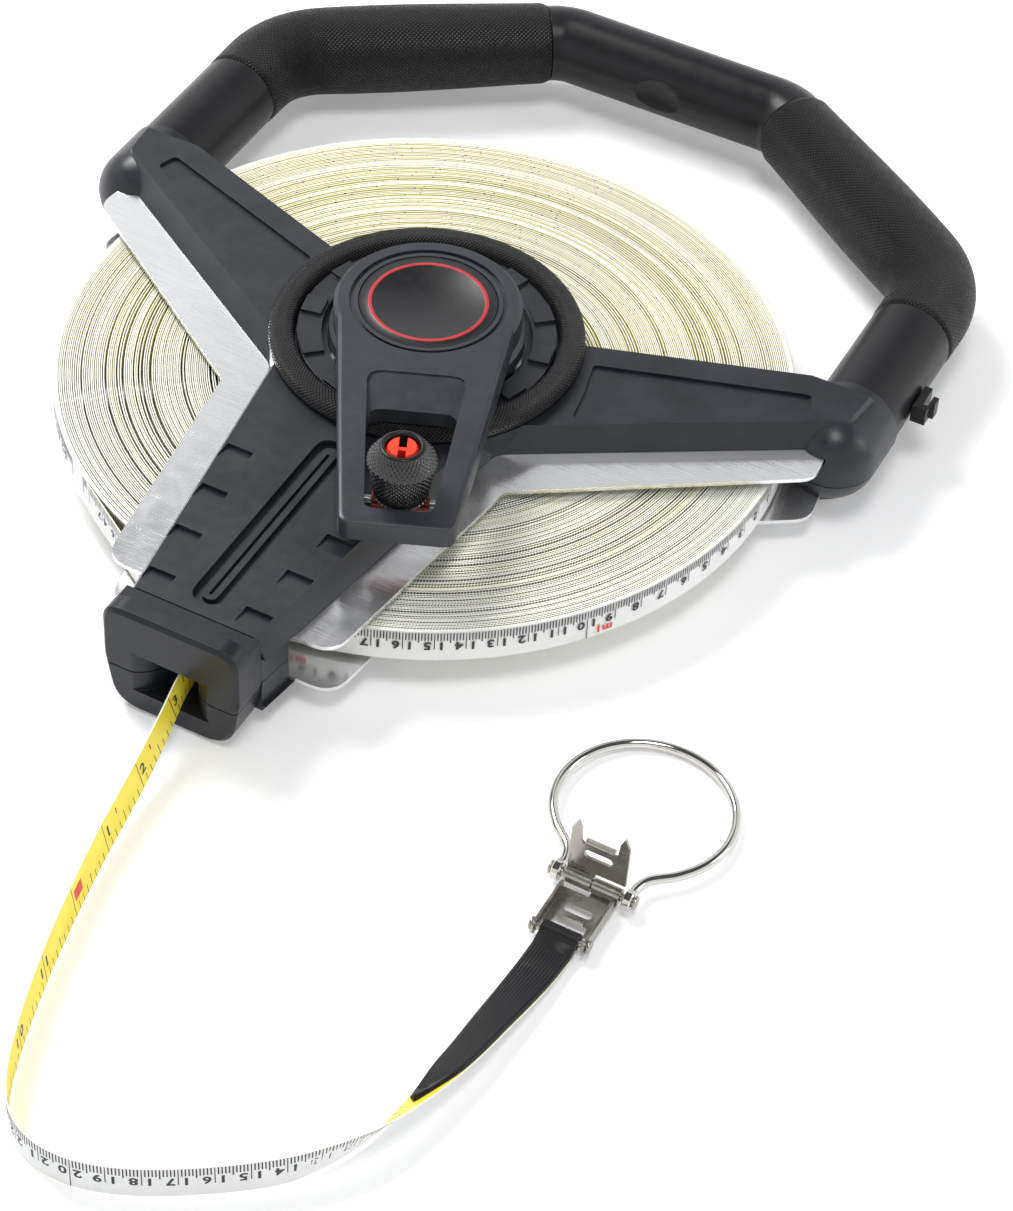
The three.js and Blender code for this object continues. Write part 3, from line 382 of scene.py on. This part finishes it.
# ---- floor, lights ----------------------------------------------------------------------
def add_studio():
    s = Shader("floor_white", Roughness=0.9)
    s.surface.inputs["Specular IOR Level"].default_value = 0.2
    s.surface.inputs["Base Color"].default_value = (0.93, 0.93, 0.935, 1)
    s.surface.inputs["Emission Color"].default_value = (1, 1, 1, 1)
    s.surface.inputs["Emission Strength"].default_value = 0.13
    side = 6000
    floor = mesh_piece("floor", [(-side, -side, 0), (side, -side, 0), (side, side, 0),
                                 (-side, side, 0)], [(0, 1, 2, 3)], [s.material], angle=0)
    floor.location.z = min(0.0, cad_box[0].z) - 0.0001

    def area(name, place_at, aim, size, power):
        light = bpy.data.lights.new(name, "AREA")
        light.shape, light.size, light.size_y = "RECTANGLE", size[0], size[1]
        light.energy = power
        lamp = new_object(name, light)
        lamp.location = place_at
        lamp.rotation_mode = "QUATERNION"
        lamp.rotation_quaternion = (Vector(aim) - Vector(place_at)).to_track_quat("-Z", "Y")

    area("key", (-1.5, 0.55, 1.9), (0, 0, 0), (0.9, 0.9), 46)
    area("top", (0.35, -0.35, 2.3), (0, -0.05, 0), (0.75, 0.75), 18)
    area("rim", (1.7, 0.8, 0.9), (0, 0, 0.03), (0.5, 1.0), 5)
    world = bpy.data.worlds.new("studio")
    world.use_nodes = True
    tree = world.node_tree
    height = tree.nodes.new("ShaderNodeSeparateXYZ")
    tree.links.new(tree.nodes.new("ShaderNodeTexCoord").outputs["Generated"], height.inputs[0])
    walls = tree.nodes.new("ShaderNodeValToRGB")
    walls.color_ramp.interpolation = "EASE"
    stops = walls.color_ramp.elements
    stops[0].position, stops[0].color = 0.668, (0.98, 0.99, 1, 1)
    stops[1].position, stops[1].color = 0.712, (0.10, 0.10, 0.105, 1)
    tree.links.new(height.outputs["Z"], walls.inputs[0])
    tree.links.new(walls.outputs[0], tree.nodes["Background"].inputs["Color"])
    tree.nodes["Background"].inputs["Strength"].default_value = 1.0
    bpy.context.scene.world = world
    bpy.context.scene.view_settings.view_transform = "Standard"


add_studio()

# ---- tape: where it runs ----------------------------------------------------------------
TAPE_WIDTH = 12.7
TAPE_THICKNESS = 0.45
MID_Z = 18.65
PACK_RADIUS = 125.7
TAPE_EXIT_Z = 16.6

# The free tape's middle line from the mouth to the hook, x, y, z, and how far the tape leans
# from standing on edge at each point, in degrees.
TAPE_ROUTE = [
    (1.2, -150, TAPE_EXIT_Z, 0), (2.6, -162, 16.1, 3), (4.7, -176, 12.6, 6), (7.2, -194, 9.2, 8),
    (11.0, -220, 7.3, 8), (18.2, -254, 6.8, 6), (23.0, -272, 6.8, 4), (29.4, -292, 6.8, 2),
    (36.2, -308, 6.8, 0), (43.6, -317.6, 6.8, 0), (53.0, -322.6, 6.8, 0),
    (63.8, -323.4, 6.8, 0), (73.4, -321.4, 6.8, 0), (84.4, -316.8, 6.8, 0),
    (98.8, -308.2, 6.8, 0), (111.9, -298.6, 6.9, 0), (118.6, -292.6, 7, 2),
    (124.1, -285.8, 7.1, 8.2), (129.2, -277.9, 7, 16.2), (133.3, -269.3, 6.6, 26),
    (136, -260.1, 5.9, 36), (138, -250.7, 5.3, 46), (139.7, -241.4, 4.8, 53.3),
    (141.3, -230.1, 4.2, 60.8), (142.4, -218.6, 3.5, 68.3), (143.6, -207.3, 2.9, 76),
    (144.5, -196.6, 2.4, 84), (144.9, -186, 2, 90),
]


def through(points, steps):
    """A smooth line through the points, `steps` places to each stretch between two of them."""
    line = []
    count = len(points)
    for i in range(count - 1):
        b, c = points[i], points[i + 1]
        a = points[i - 1] if i > 0 else b * 2 - c
        d = points[i + 2] if i + 2 < count else c * 2 - b
        spans = [max((q - p).length, 1e-6) ** 0.5 for p, q in ((a, b), (b, c), (c, d))]
        start = ((b - a) / spans[0] - (c - a) / (spans[0] + spans[1]) + (c - b) / spans[1])
        end = ((c - b) / spans[1] - (d - b) / (spans[1] + spans[2]) + (d - c) / spans[2])
        start, end = start * spans[1], end * spans[1]
        for k in range(steps):
            t = k / steps
            line.append(b + start * t + (c - b) * 3 * t ** 2 - start * 2 * t ** 2 - end * t ** 2
                        + (b - c) * 2 * t ** 3 + (start + end) * t ** 3)
    return [*line, points[-1]]


class Strip:
    """A stretch of tape: at(mark, across, proud) gives a point on or above it. mark is the
    reading in millimetres, across runs from -half to half a width, proud is towards white."""

    def __init__(self, line, leans, first_mark):
        self.line = line
        self.leans = leans
        self.marks = [first_mark]
        for p, q in zip(line, line[1:]):
            self.marks.append(self.marks[-1] - (q - p).length)
        self.tangents = [(line[min(i + 1, len(line) - 1)] - line[max(i - 1, 0)]).normalized()
                         for i in range(len(line))]

    def at(self, mark, across, proud):
        low, high = 0, len(self.marks) - 2
        while low < high:
            middle = (low + high + 1) // 2
            if self.marks[middle] >= mark:
                low = middle
            else:
                high = middle - 1
        share = (self.marks[low] - mark) / (self.marks[low] - self.marks[low + 1])
        tangent = self.tangents[low].lerp(self.tangents[low + 1], share).normalized()
        lean = math.radians(self.leans[low] + (self.leans[low + 1] - self.leans[low]) * share)
        side = tangent.cross(Vector((0, 0, 1))).normalized()
        level = side.cross(tangent)
        width = level * math.cos(lean) + side * math.sin(lean)
        return (self.line[low].lerp(self.line[low + 1], share) + width * across
                + tangent.cross(width) * proud)


STEPS = 12
free_line = through([Vector(p[:3]) for p in TAPE_ROUTE], STEPS)
free_leans = [TAPE_ROUTE[i // STEPS][3] + (TAPE_ROUTE[min(i // STEPS + 1, len(TAPE_ROUTE) - 1)][3]
              - TAPE_ROUTE[i // STEPS][3]) * (i % STEPS) / STEPS for i in range(len(free_line))]
FREE_LENGTH = sum((q - p).length for p, q in zip(free_line, free_line[1:]))
HOOK_MARK = 27.0                    # the reading at the free tape's end, by the hook
MOUTH_MARK = HOOK_MARK + FREE_LENGTH
free_tape = Strip(free_line, free_leans, MOUTH_MARK)

mouth_point = Vector((1.1, -149.2, TAPE_EXIT_Z))
reach = math.hypot(mouth_point.x, mouth_point.y)
leave_angle = math.atan2(mouth_point.y, mouth_point.x) - math.acos(PACK_RADIUS / reach)
leave_point = Vector((PACK_RADIUS * math.cos(leave_angle), PACK_RADIUS * math.sin(leave_angle),
                      MID_Z))
inner_line = [leave_point.lerp(mouth_point, i / 20) for i in range(21)]
LEAVE_MARK = MOUTH_MARK + 1 + (mouth_point - leave_point).length
inner_tape = Strip(inner_line, [0] * 21, LEAVE_MARK)


class Pack:
    """The outermost turn of the wound tape, with the same at() as a Strip."""

    known_mark, known_angle = 1170, math.radians(-69.1)

    def at(self, mark, across, proud):
        angle = self.known_angle - (mark - self.known_mark) / PACK_RADIUS
        radius = PACK_RADIUS - TAPE_THICKNESS / 2 + proud
        return Vector((radius * math.cos(angle), radius * math.sin(angle), MID_Z + across))


TURNS = 96
WOUND_THICKNESS = 0.41
INNER_TURN = 52.5
INCH = 25.4


def build_turns():
    """Radii and heights of the wound turns, from the inside out, with uneven gaps."""
    chance = random.Random(7)
    gaps = []
    for i in range(TURNS):
        gap = 0.2 + 0.22 * chance.random()
        if chance.random() < 0.13:
            gap += 0.5 + 0.6 * chance.random()
        gaps.append(gap)
    gaps[-4:] = [0.3, 0.05, 0.0, 0.0]
    total = PACK_RADIUS - TAPE_THICKNESS / 2 - INNER_TURN
    scale = (total - TAPE_THICKNESS * TURNS) / sum(gaps)
    radii = [INNER_TURN]
    for gap in gaps:
        radii.append(radii[-1] + TAPE_THICKNESS + gap * scale)
    heights = []
    drift = 0.0
    for i in range(TURNS + 1):
        drift = drift * 0.8 + chance.uniform(-0.18, 0.18)
        heights.append(drift + chance.uniform(-0.22, 0.22))
    heights[-3:] = [0.0, 0.0, 0.0]
    return radii, heights


turn_radii, turn_heights = build_turns()


def turn_place(angle):
    """Turns wound so far at an angle, counted from the spool; whole turns end at leave_angle."""
    return min(max(TURNS + (angle - leave_angle) / TURN, 0), TURNS)


def between(values, position):
    i = min(int(position), len(values) - 2)
    return values[i] + (values[i + 1] - values[i]) * (position - i)


def turn_radius(angle):
    return between(turn_radii, turn_place(angle))


def turn_height(angle):
    position = turn_place(angle)
    ripple = 0.05 * math.sin(3 * angle + 1.7 * int(position)) if position < TURNS - 2 else 0
    return between(turn_heights, position) + ripple


# ---- tape: materials --------------------------------------------------------------------
def tape_white(name, ticks):
    """Coated white tape; ticks draws millimetre marks along its upper edge."""
    s = Shader(name, Roughness=0.42)
    tone = s.span(s.noise(90, 4), 0, 1, 0.3, 0.7)
    colour = s.blend(tone, (0.74, 0.745, 0.73, 1), (0.80, 0.805, 0.79, 1))
    if ticks:
        parts = s.node("ShaderNodeSeparateXYZ", {"Vector": s.coords("UV")})
        beat = s.math("LESS_THAN", s.math("FRACT", parts), 0.5)
        upper = s.math("GREATER_THAN", parts.node.outputs[1], 0.7)
        colour = s.blend(s.math("MULTIPLY", beat, upper), colour, (0.015, 0.015, 0.015, 1))
    s.set("Base Color", colour)
    s.bump(s.noise(1400, 2), 0.01 * MM, 0.4)
    return s.material


def tape_yellow(name, colour, lighter, ticks):
    """The yellow side; ticks draws the whole-inch lines of the turns inside the pack."""
    s = Shader(name, Roughness=0.4)
    tone = s.span(s.noise(120, 4), 0, 1, 0.3, 0.7)
    colour = s.blend(tone, colour, lighter)
    if ticks:
        parts = s.node("ShaderNodeSeparateXYZ", {"Vector": s.coords("UV")})
        beat = s.math("LESS_THAN", s.math("FRACT", s.math("DIVIDE", parts, INCH)), 0.026)
        colour = s.blend(beat, colour, (0.015, 0.015, 0.015, 1))
    s.set("Base Color", colour)
    s.bump(s.noise(1400, 2), 0.01 * MM, 0.4)
    return s.material


def tape_edge():
    """The tape's cut edges; in the pack they vary by turn, with faint lemon bands inside."""
    s = Shader("tape_edge", Roughness=0.6)
    parts = s.node("ShaderNodeSeparateXYZ", {"Vector": s.coords("UV")})
    fibre = s.noise(500, 3)
    turn = s.node("ShaderNodeTexNoise", {"W": parts.node.outputs[1], "Scale": 3.1,
                                         "Detail": 3.0}, noise_dimensions="1D")
    base = s.blend(s.span(turn, 0, 1, 0.38, 0.62), (0.80, 0.80, 0.75, 1), (0.93, 0.93, 0.89, 1))
    bands = s.node("ShaderNodeTexNoise", {"W": parts.node.outputs[1], "Scale": 0.23,
                                          "Detail": 1.0}, noise_dimensions="1D")
    inner = s.span(parts.node.outputs[1], 1, 0, TURNS * 0.74, TURNS * 0.88)
    lemon = s.math("MULTIPLY", s.span(bands, 0, 0.3, 0.42, 0.58), inner)
    warm = s.math("MAXIMUM", s.span(fibre, 0, 0.2, 0.45, 0.7), lemon)
    s.set("Base Color", s.blend(warm, base, (0.94, 0.92, 0.46, 1)))
    return s.material


WHITE = tape_white("tape_white", False)
WHITE_TICKED = tape_white("tape_white_ticked", True)
YELLOW = tape_yellow("tape_yellow", (0.86, 0.70, 0.035, 1), (0.92, 0.78, 0.07, 1), False)
# The wound turns' yellow is painted lighter than the free tape's yellow: a painted lightening
# against the shade deep in the gaps between turns.
YELLOW_TICKED = tape_yellow("tape_yellow_ticked", (0.92, 0.80, 0.035, 1),
                            (0.96, 0.86, 0.09, 1), True)
EDGE = tape_edge()


def ink(name, colour):
    s = Shader(name, Roughness=0.45)
    s.set("Base Color", s.blend(s.noise(700, 3), colour, tuple(c * 1.5 + 0.01 for c in colour[:3])
                                + (1,)))
    return s.material


BLACK_INK = ink("black_ink", (0.012, 0.012, 0.013, 1))
RED_INK = ink("red_ink", (0.55, 0.02, 0.012, 1))


# ---- tape: the strips themselves --------------------------------------------------------
def strip_mesh(name, strip, marks, materials):
    """Tape of the given marks; materials are for its white side, yellow side and edges."""
    half, proud = TAPE_WIDTH / 2, TAPE_THICKNESS / 2
    sections = [[strip.at(m, half, proud), strip.at(m, half, -proud), strip.at(m, -half, -proud),
                 strip.at(m, -half, proud)] for m in marks]
    points, faces = loft(sections)
    indices = [2, 1, 2, 0] * (len(marks) - 1) + [2, 2]
    return mesh_piece(name, points, faces, materials, indices, angle=40)


def spread(first, last, step):
    count = max(1, round(abs(last - first) / step))
    return [first + (last - first) * i / count for i in range(count + 1)]


payout = strip_mesh("payout_tape_strip", free_tape,
                    spread(MOUTH_MARK - 0.01, HOOK_MARK + 0.01, 1.5), [WHITE, YELLOW, EDGE])
place(payout, "frame", "tape", "payout_tape")
inner = strip_mesh("inner_tape_strip", inner_tape,
                   spread(LEAVE_MARK - 0.01, MOUTH_MARK + 1.01, 8), [WHITE, YELLOW, EDGE])
place(inner, "frame", "tape", "inner_tape")


def wound_tape():
    """One spiral of tape from the spool to the outside, with ticks on its hidden turns."""
    per_turn = 150
    half, proud = TAPE_WIDTH / 2, WOUND_THICKNESS / 2
    sections, uvs, indices = [], [], []
    length = 0.0
    angles = [leave_angle - TURN * (TURNS - i / per_turn) for i in range(TURNS * per_turn + 1)]
    lengths = []
    for angle in angles:
        radius = turn_radius(angle)
        lengths.append(length)
        length += TURN / per_turn * radius
        z = MID_Z + turn_height(angle)
        c, s = math.cos(angle), math.sin(angle)
        sections.append([(r * c, r * s, z + h) for r, h in (
            (radius + proud, half), (radius - proud, half), (radius - proud, -half),
            (radius + proud, -half))])
    points, faces = loft(sections)
    for i in range(len(sections) - 1):
        u0, u1 = lengths[i], lengths[i + 1]
        turn = i / per_turn
        outermost = i >= (TURNS - 1) * per_turn
        for k, (v0, v1) in enumerate(((turn, turn), (1, 0), (turn, turn), (0, 1))):
            uvs += [(u0, v0), (u0, v1), (u1, v1), (u1, v0)]
            indices.append((2, 1, 2, 0 if outermost else 3)[k])
    uvs += [(0, 0)] * 8
    indices += [2, 2]
    return mesh_piece("wound_tape", points, faces, [WHITE, YELLOW_TICKED, EDGE, WHITE_TICKED],
                      indices, uvs, angle=40)


place(wound_tape(), "reel", "tape", "tape_pack")


# ---- tape: graduations ------------------------------------------------------------------
def digit_shapes():
    """Each digit's points and faces, about 1 high and centred."""
    shapes = {}
    for digit in "0123456789m":
        curve = bpy.data.curves.new("digit", "FONT")
        curve.body, curve.offset, curve.resolution_u = digit, 0.032, 3
        holder = new_object("digit", curve)
        bpy.context.view_layer.update()
        mesh = bpy.data.meshes.new_from_object(holder)
        xs = [v.co.x for v in mesh.vertices]
        ys = [v.co.y for v in mesh.vertices]
        tall = max(ys) - min(ys)
        shapes[digit] = ([((v.co.x - (max(xs) + min(xs)) / 2) / tall,
                           (v.co.y - (max(ys) + min(ys)) / 2) / tall) for v in mesh.vertices],
                         [tuple(f.vertices) for f in mesh.polygons])
        bpy.data.objects.remove(holder)
        bpy.data.meshes.remove(mesh)
        bpy.data.curves.remove(curve)
    return shapes


DIGITS = digit_shapes()
PRINT_LIFT = TAPE_THICKNESS / 2 + 0.03


class Print:
    """Flat marks that lie on a strip, gathered into one piece of one ink."""

    def __init__(self, strip, side):
        self.strip, self.side = strip, side
        self.points, self.faces = [], []

    def add(self, flat, faces):
        start = len(self.points)
        self.points += [self.strip.at(m, a, self.side * PRINT_LIFT) for m, a in flat]
        outward = self.strip.at(*flat[0], self.side) - self.strip.at(*flat[0], 0)
        for face in faces:
            a, b, c = (self.points[start + i] for i in face[:3])
            turned = (b - a).cross(c - b).dot(outward) < 0
            self.faces.append(tuple(start + i for i in (face[::-1] if turned else face)))

    def bar(self, mark, low, high, thick):
        cuts = max(1, math.ceil((high - low) / 4))
        flat = [(mark + side * thick / 2, low + (high - low) * i / cuts)
                for i in range(cuts + 1) for side in (-1, 1)]
        self.add(flat, [(2 * i, 2 * i + 1, 2 * i + 3, 2 * i + 2) for i in range(cuts)])

    def digit(self, text, mark, across, tall, stretch, up):
        points, faces = DIGITS[text]
        self.add([(mark + x * tall * stretch, across + up * y * tall) for x, y in points], faces)

    def piece(self, name, body, material):
        result = mesh_piece(name, self.points, self.faces, [material], angle=0, tidy=False)
        return place(result, body, "tape")


EDGE_INSET = 0.15


def metric(strip, first, last, name, body):
    """Millimetre ticks from the upper edge, and centimetre numbers split by their tick."""
    black, red = Print(strip, 1), Print(strip, 1)
    top = TAPE_WIDTH / 2 - EDGE_INSET
    for mark in range(math.ceil(first), math.floor(last) + 1):
        whole, half_way = mark % 10 == 0, mark % 5 == 0
        deep = 7.2 if whole else 4.3 if half_way else 3.3
        if mark % 100 == 0:
            deep = TAPE_WIDTH - 2 * EDGE_INSET
        black.bar(mark, top - deep, top, 0.32 if whole else 0.42)
        if whole and first + 5 < mark < last - 5:
            number = str(mark // 10 % 100)
            places = (-2.2, 2.2) if len(number) == 2 else (2.2,)
            for text, shift in zip(number, places):
                black.digit(text, mark + shift, 0.45, 3.5, 1.15, -1)
            if mark % 100 == 0 and mark >= 1000:
                red.digit(str(mark // 1000), mark - 4.2, -3.2, 3.2, 1.1, -1)
                red.digit("m", mark - 7.4, -3.5, 2.3, 1.1, -1)
    made = [black.piece(name, body, BLACK_INK)]
    if red.points:
        made.append(red.piece(name + "_red", body, RED_INK))
    return made


def inches(strip, first, last, name, body):
    """Eighths from the lower edge, whole inches across, and a red bar at each foot."""
    black, red = Print(strip, -1), Print(strip, -1)
    low = -TAPE_WIDTH / 2 + EDGE_INSET
    for eighth in range(math.ceil(first / INCH * 8), math.floor(last / INCH * 8) + 1):
        mark = eighth * INCH / 8
        tall = 12.2 if eighth % 8 == 0 else 5.0 if eighth % 4 == 0 else 3.4
        black.bar(mark, low, low + tall, 0.32)
        if eighth % 8 == 0 and first + 5 < mark < last - 8:
            number = eighth // 8 % 12
            if number:
                text = str(number)
                places = (-2.4, 2.4) if len(text) == 2 else (2.6,)
                for figure, shift in zip(text, places):
                    black.digit(figure, mark + shift, 0.6, 4.4, 1.0, 1)
                if mark > 12 * INCH:
                    red.digit("1", mark + 9.2, 2.6, 2.6, 1.2, 1)
            else:
                red.bar(mark + 4.2, -1.2, 3.2, 5.6)
    made = [black.piece(name, body, BLACK_INK)]
    if red.points:
        made.append(red.piece(name + "_red", body, RED_INK))
    return made


prints = metric(free_tape, HOOK_MARK + 1, MOUTH_MARK - 1, "metric_marks", "frame")
prints += inches(free_tape, 96, MOUTH_MARK - 1, "inch_marks", "frame")
metric(inner_tape, MOUTH_MARK + 2, LEAVE_MARK - 1, "inner_metric_marks", "frame")
inches(inner_tape, MOUTH_MARK + 2, LEAVE_MARK - 1, "inner_inch_marks", "frame")
metric(Pack(), 510, 1290, "pack_metric_marks", "reel")

# ---- hook: leader and pull ring ---------------------------------------------------------
HOOK_X = 144.9
TAPE_PIN = (-180.5, 4.0)            # y and z of the pin that the sleeve wraps round
HINGE_PIN = (-159.0, 4.6)           # y and z of the pin that the fork and ring turn on
RING_CENTRE_Y = -123.3
LEADER_TIP = 97.0


def leader():
    """The black sleeve on the tape's end, ribbed along its length and pointed at its tip."""
    ribs = 12
    across = [(k / (ribs * 4)) * 2 - 1 for k in range(ribs * 4 + 1)]
    sections = []
    for mark in spread(LEADER_TIP, HOOK_MARK + 0.01, 1.0):
        back = LEADER_TIP - mark
        half = 6.3 if back > 19 else 0.7 + 5.6 * math.sin(math.pi / 2 * back / 19) ** 0.8
        deep = 0.2 if 4 < back < 60 else 0.06
        top = []
        for k, a in enumerate(across):
            rib = deep * (0.5 - 0.5 * math.cos(TURN * k / 4)) if abs(a) < 0.93 else 0
            edge = 0.5 * max(0, abs(a) - 0.9) / 0.1
            top.append(free_tape.at(mark, a * half, -1.9 + rib + edge))
        under = [free_tape.at(mark, a * half, -0.45) for a in (1, 0.5, 0, -0.5, -1)]
        sections.append([*top, *under])
    points, faces = loft(sections)
    return mesh_piece("leader_sleeve", points, faces, [SMOOTH], angle=60)


def leader_loop():
    """The end of the sleeve, wrapped round the tape pin."""
    (y0, z0), radius, bore = TAPE_PIN, 2.7, 1.6
    outer, inner = [], []
    count = 40
    for k in range(count):
        angle = TURN * k / count
        c, s = math.cos(angle), math.sin(angle)
        reach = radius
        if c < -0.6:
            limit = (0.9 if s > 0 else 1.3) / max(abs(s), 1e-3)
            reach = max(radius, min(7.0 / -c, limit))
        outer.append((y0 + reach * c, z0 + reach * s - (0.75 if reach > radius + 0.5 else 0)))
        inner.append((y0 + bore * c, z0 + bore * s))
    xs = [HOOK_X - 6.15, HOOK_X - 5.9, HOOK_X + 5.9, HOOK_X + 6.15]
    points, faces = [], []
    for i, x in enumerate(xs):
        trim = 0.25 if i in (0, 3) else 0
        points += [(x, y + (y0 - y) * trim / 3, z + (z0 - z) * trim / 3) for y, z in outer]
        points += [(x, y, z) for y, z in inner]
    ring = 2 * count
    for i in range(3):
        for k in range(count):
            m = (k + 1) % count
            a, b = i * ring, (i + 1) * ring
            faces.append((a + k, a + m, b + m, b + k))
            faces.append((a + count + m, a + count + k, b + count + k, b + count + m))
    for a in (0, 3 * ring):
        for k in range(count):
            m = (k + 1) % count
            faces.append((a + k, a + m, a + count + m, a + count + k))
    return mesh_piece("leader_loop", points, faces, [SMOOTH], angle=40)


sleeve = place(leader(), "frame", "leader_sleeve", "tape_leader")
loop = place(leader_loop(), "frame", "leader_sleeve", "tape_leader")


def pull_ring():
    """A round loop of plated wire; ring_eyes makes the eye at each end."""
    (y0, z0), wire, radius = HINGE_PIN, 1.6, 28.2
    centre = RING_CENTRE_Y - y0
    far = centre + radius

    def height(y):
        return z0 + (wire + 0.3 - z0) * max(0.0, y / far)

    neck = [(11.8, 2.4), (12, 5.4), (13.6, 9.8)]
    bow = [(radius * math.cos(math.radians(-43 + i * 266 / 14)),
            centre + radius * math.sin(math.radians(-43 + i * 266 / 14))) for i in range(15)]
    line = [*neck, *bow, *[(-x, y) for x, y in reversed(neck)]]
    path = through([Vector((HOOK_X + x, y0 + y, height(y))) for x, y in line], 10)
    return tube("pull_ring_wire", path, [wire] * len(path), 20, NICKEL, 1.0)


def ring_eyes():
    """The two flattened eyes that hold the hinge pin."""
    profile = [(1.6, -1.4), (2.9, -1.4), (3.3, -1.0), (3.3, 1.0), (2.9, 1.4), (1.6, 1.4)]
    points, faces = [], []
    sides = 32
    for side in (-1, 1):
        start = len(points)
        for i in range(sides):
            a = TURN * i / sides
            points += [(HOOK_X + side * 11.9 + x, HINGE_PIN[0] + r * math.cos(a),
                        HINGE_PIN[1] + r * math.sin(a)) for r, x in profile]
        for i in range(sides):
            for k in range(len(profile)):
                m, j = (k + 1) % len(profile), (i + 1) % sides
                faces.append(tuple(start + n * len(profile) + q for n, q in (
                    (i, k), (j, k), (j, m), (i, m))))
    return mesh_piece("ring_eyes", points, faces, [NICKEL], angle=30)


ring = place(pull_ring(), "hook_ring", "nickel_plate", "pull_ring")
eyes = place(ring_eyes(), "hook_ring", "nickel_plate", "pull_ring")

# ---- grips, hub ring, knob and label ----------------------------------------------------
HANDLE_X, HANDLE_Z = 135.5, 21
SHOULDER, CROWN = Vector((HANDLE_X, 132.4)), Vector((46, 194.8))
slope = (CROWN - SHOULDER).normalized()
GRIP_RADIUS, GRIP_SWELL, GRIP_PITCH = 15.2, 1.3, 1.5


def grip_line():
    """The right grip's middle line: straight, round the shoulder, and straight again."""
    bend_in, bend_out = Vector((HANDLE_X, 115.4)), SHOULDER + slope * 17
    end = CROWN - slope * 7
    flat = [Vector((HANDLE_X, 103.3)).lerp(bend_in, i / 10) for i in range(10)]
    for i in range(25):
        t = i / 24
        flat.append(bend_in * (1 - t) ** 2 + SHOULDER * 2 * t * (1 - t) + bend_out * t ** 2)
    flat += [bend_out.lerp(end, i / 36) for i in range(1, 37)]
    return [Vector((x, y, HANDLE_Z)) for x, y in flat]


def grip_pieces():
    line = grip_line()
    reach = [0.0]
    for p, q in zip(line, line[1:]):
        reach.append(reach[-1] + (q - p).length)
    radii = []
    for place_along in reach:
        share = place_along / reach[-1]
        end = min(place_along, reach[-1] - place_along)
        trim = 0.9 * (1 - min(1, end / 0.9)) ** 2
        radii.append(GRIP_RADIUS + GRIP_SWELL * math.sin(math.pi * share) ** 1.5 - trim)
    right = tube("right_grip_cover", line, radii, 64, GRIP, GRIP_PITCH)
    mirrored = [Vector((-p.x, p.y, p.z)) for p in line]
    left = tube("left_grip_cover", mirrored, radii, 64, GRIP, GRIP_PITCH)
    place(right, "frame", "grip_rubber", "right_grip")
    place(left, "frame", "grip_rubber", "left_grip")


grip_pieces()


def arc(centre, radius, start, end, count):
    return [(centre[0] + radius * math.cos(math.radians(start + (end - start) * i / count)),
             centre[1] + radius * math.sin(math.radians(start + (end - start) * i / count)))
            for i in range(count + 1)]


RING_LOW = 37.8
hub_profile = [(44.3, RING_LOW), (52.6, RING_LOW), *arc((49.6, RING_LOW + 2.2), 3.7, -20, 100, 12),
               *arc((47.6, RING_LOW + 3.1), 2.8, 90, 175, 8)]
place(lathe("hub_grip_ring", hub_profile, 192, (0, 0), [HUB_RUBBER], [0] * len(hub_profile), 1.5),
      "frame", "grip_rubber", "hub_ring")

knob_profile = [(4.3, 50.3), (7.6, 50.3), (8.3, 50.7), (8.8, 51.5), (9.4, 55.3), (10.2, 60.3),
                (11.0, 63.9), (11.35, 65.0), (11.35, 65.6), (11.0, 66.4), (9.2, 68.9),
                (7.3, 71.0), (6.9, 71.35), (6.4, 71.5), (5.9, 71.4), (5.5, 70.8), (5.5, 67.8),
                (4.3, 67.8)]
knob_kinds = [1, 1, 1] + [0] * 8 + [1] * 7
KNOB_CENTRE = (35.718, -82.936)     # on the crank's middle line
place(lathe("knob_sleeve", knob_profile, 240, KNOB_CENTRE, [KNOB_RUBBER, SMOOTH], knob_kinds,
            1.9, 0.6), "knob", "grip_rubber", "knob_grip")

label_profile = [(0, 52.7), (23.0, 52.7), (23.2, 52.9), (23.2, 53.35), (23.05, 53.5),
                 (20.15, 53.5), (20.1, 53.53), (18.95, 53.53), (18.9, 53.5), (0, 53.5)]
place(lathe("label", label_profile, 128, (0, 0), [FILM, LABEL_RED],
            [0, 0, 0, 0, 0, 1, 1, 1, 0, 0], 1.0), "reel", "label_film", "label_disc")

# ---- CAD pieces that keep their shape ---------------------------------------------------
for name in ("top_cover", "bottom_cover"):
    smooth_cad(name, COVER, 0.45)
# Joining the bezel's flat facets first would leave stray faces across its middle.
smooth_cad("hub_bezel", COVER, 0.3, dissolve=0)
for name in ("mouth_upper", "mouth_lower"):
    smooth_cad(name, MOUTH, 0.35)
for name in ("right_leg", "left_leg", "handle_centre", "ring_park"):
    smooth_cad(name, SMOOTH, 0.3)
smooth_cad("crank_arm", CRANK, 0.5, segments=3)
for name in ("top_guard_plate", "bottom_guard_plate"):
    smooth_cad(name, GUARD, 0.3)
for name in ("link_frame", "fork_plate", "tape_pin", "hinge_pin"):
    smooth_cad(name, STAMPED, 0.15)
for name in ("axle", "knob_pin", "crank_screw", "lower_bush", "upper_bush"):
    smooth_cad(name, STEEL, 0.2)
for i in range(6):
    smooth_cad(f"cover_screw_{i + 1}", STEEL, 0.2)
smooth_cad("knob_post", RED, 0.2)
smooth_cad("spool", SPOOL, 0.3)
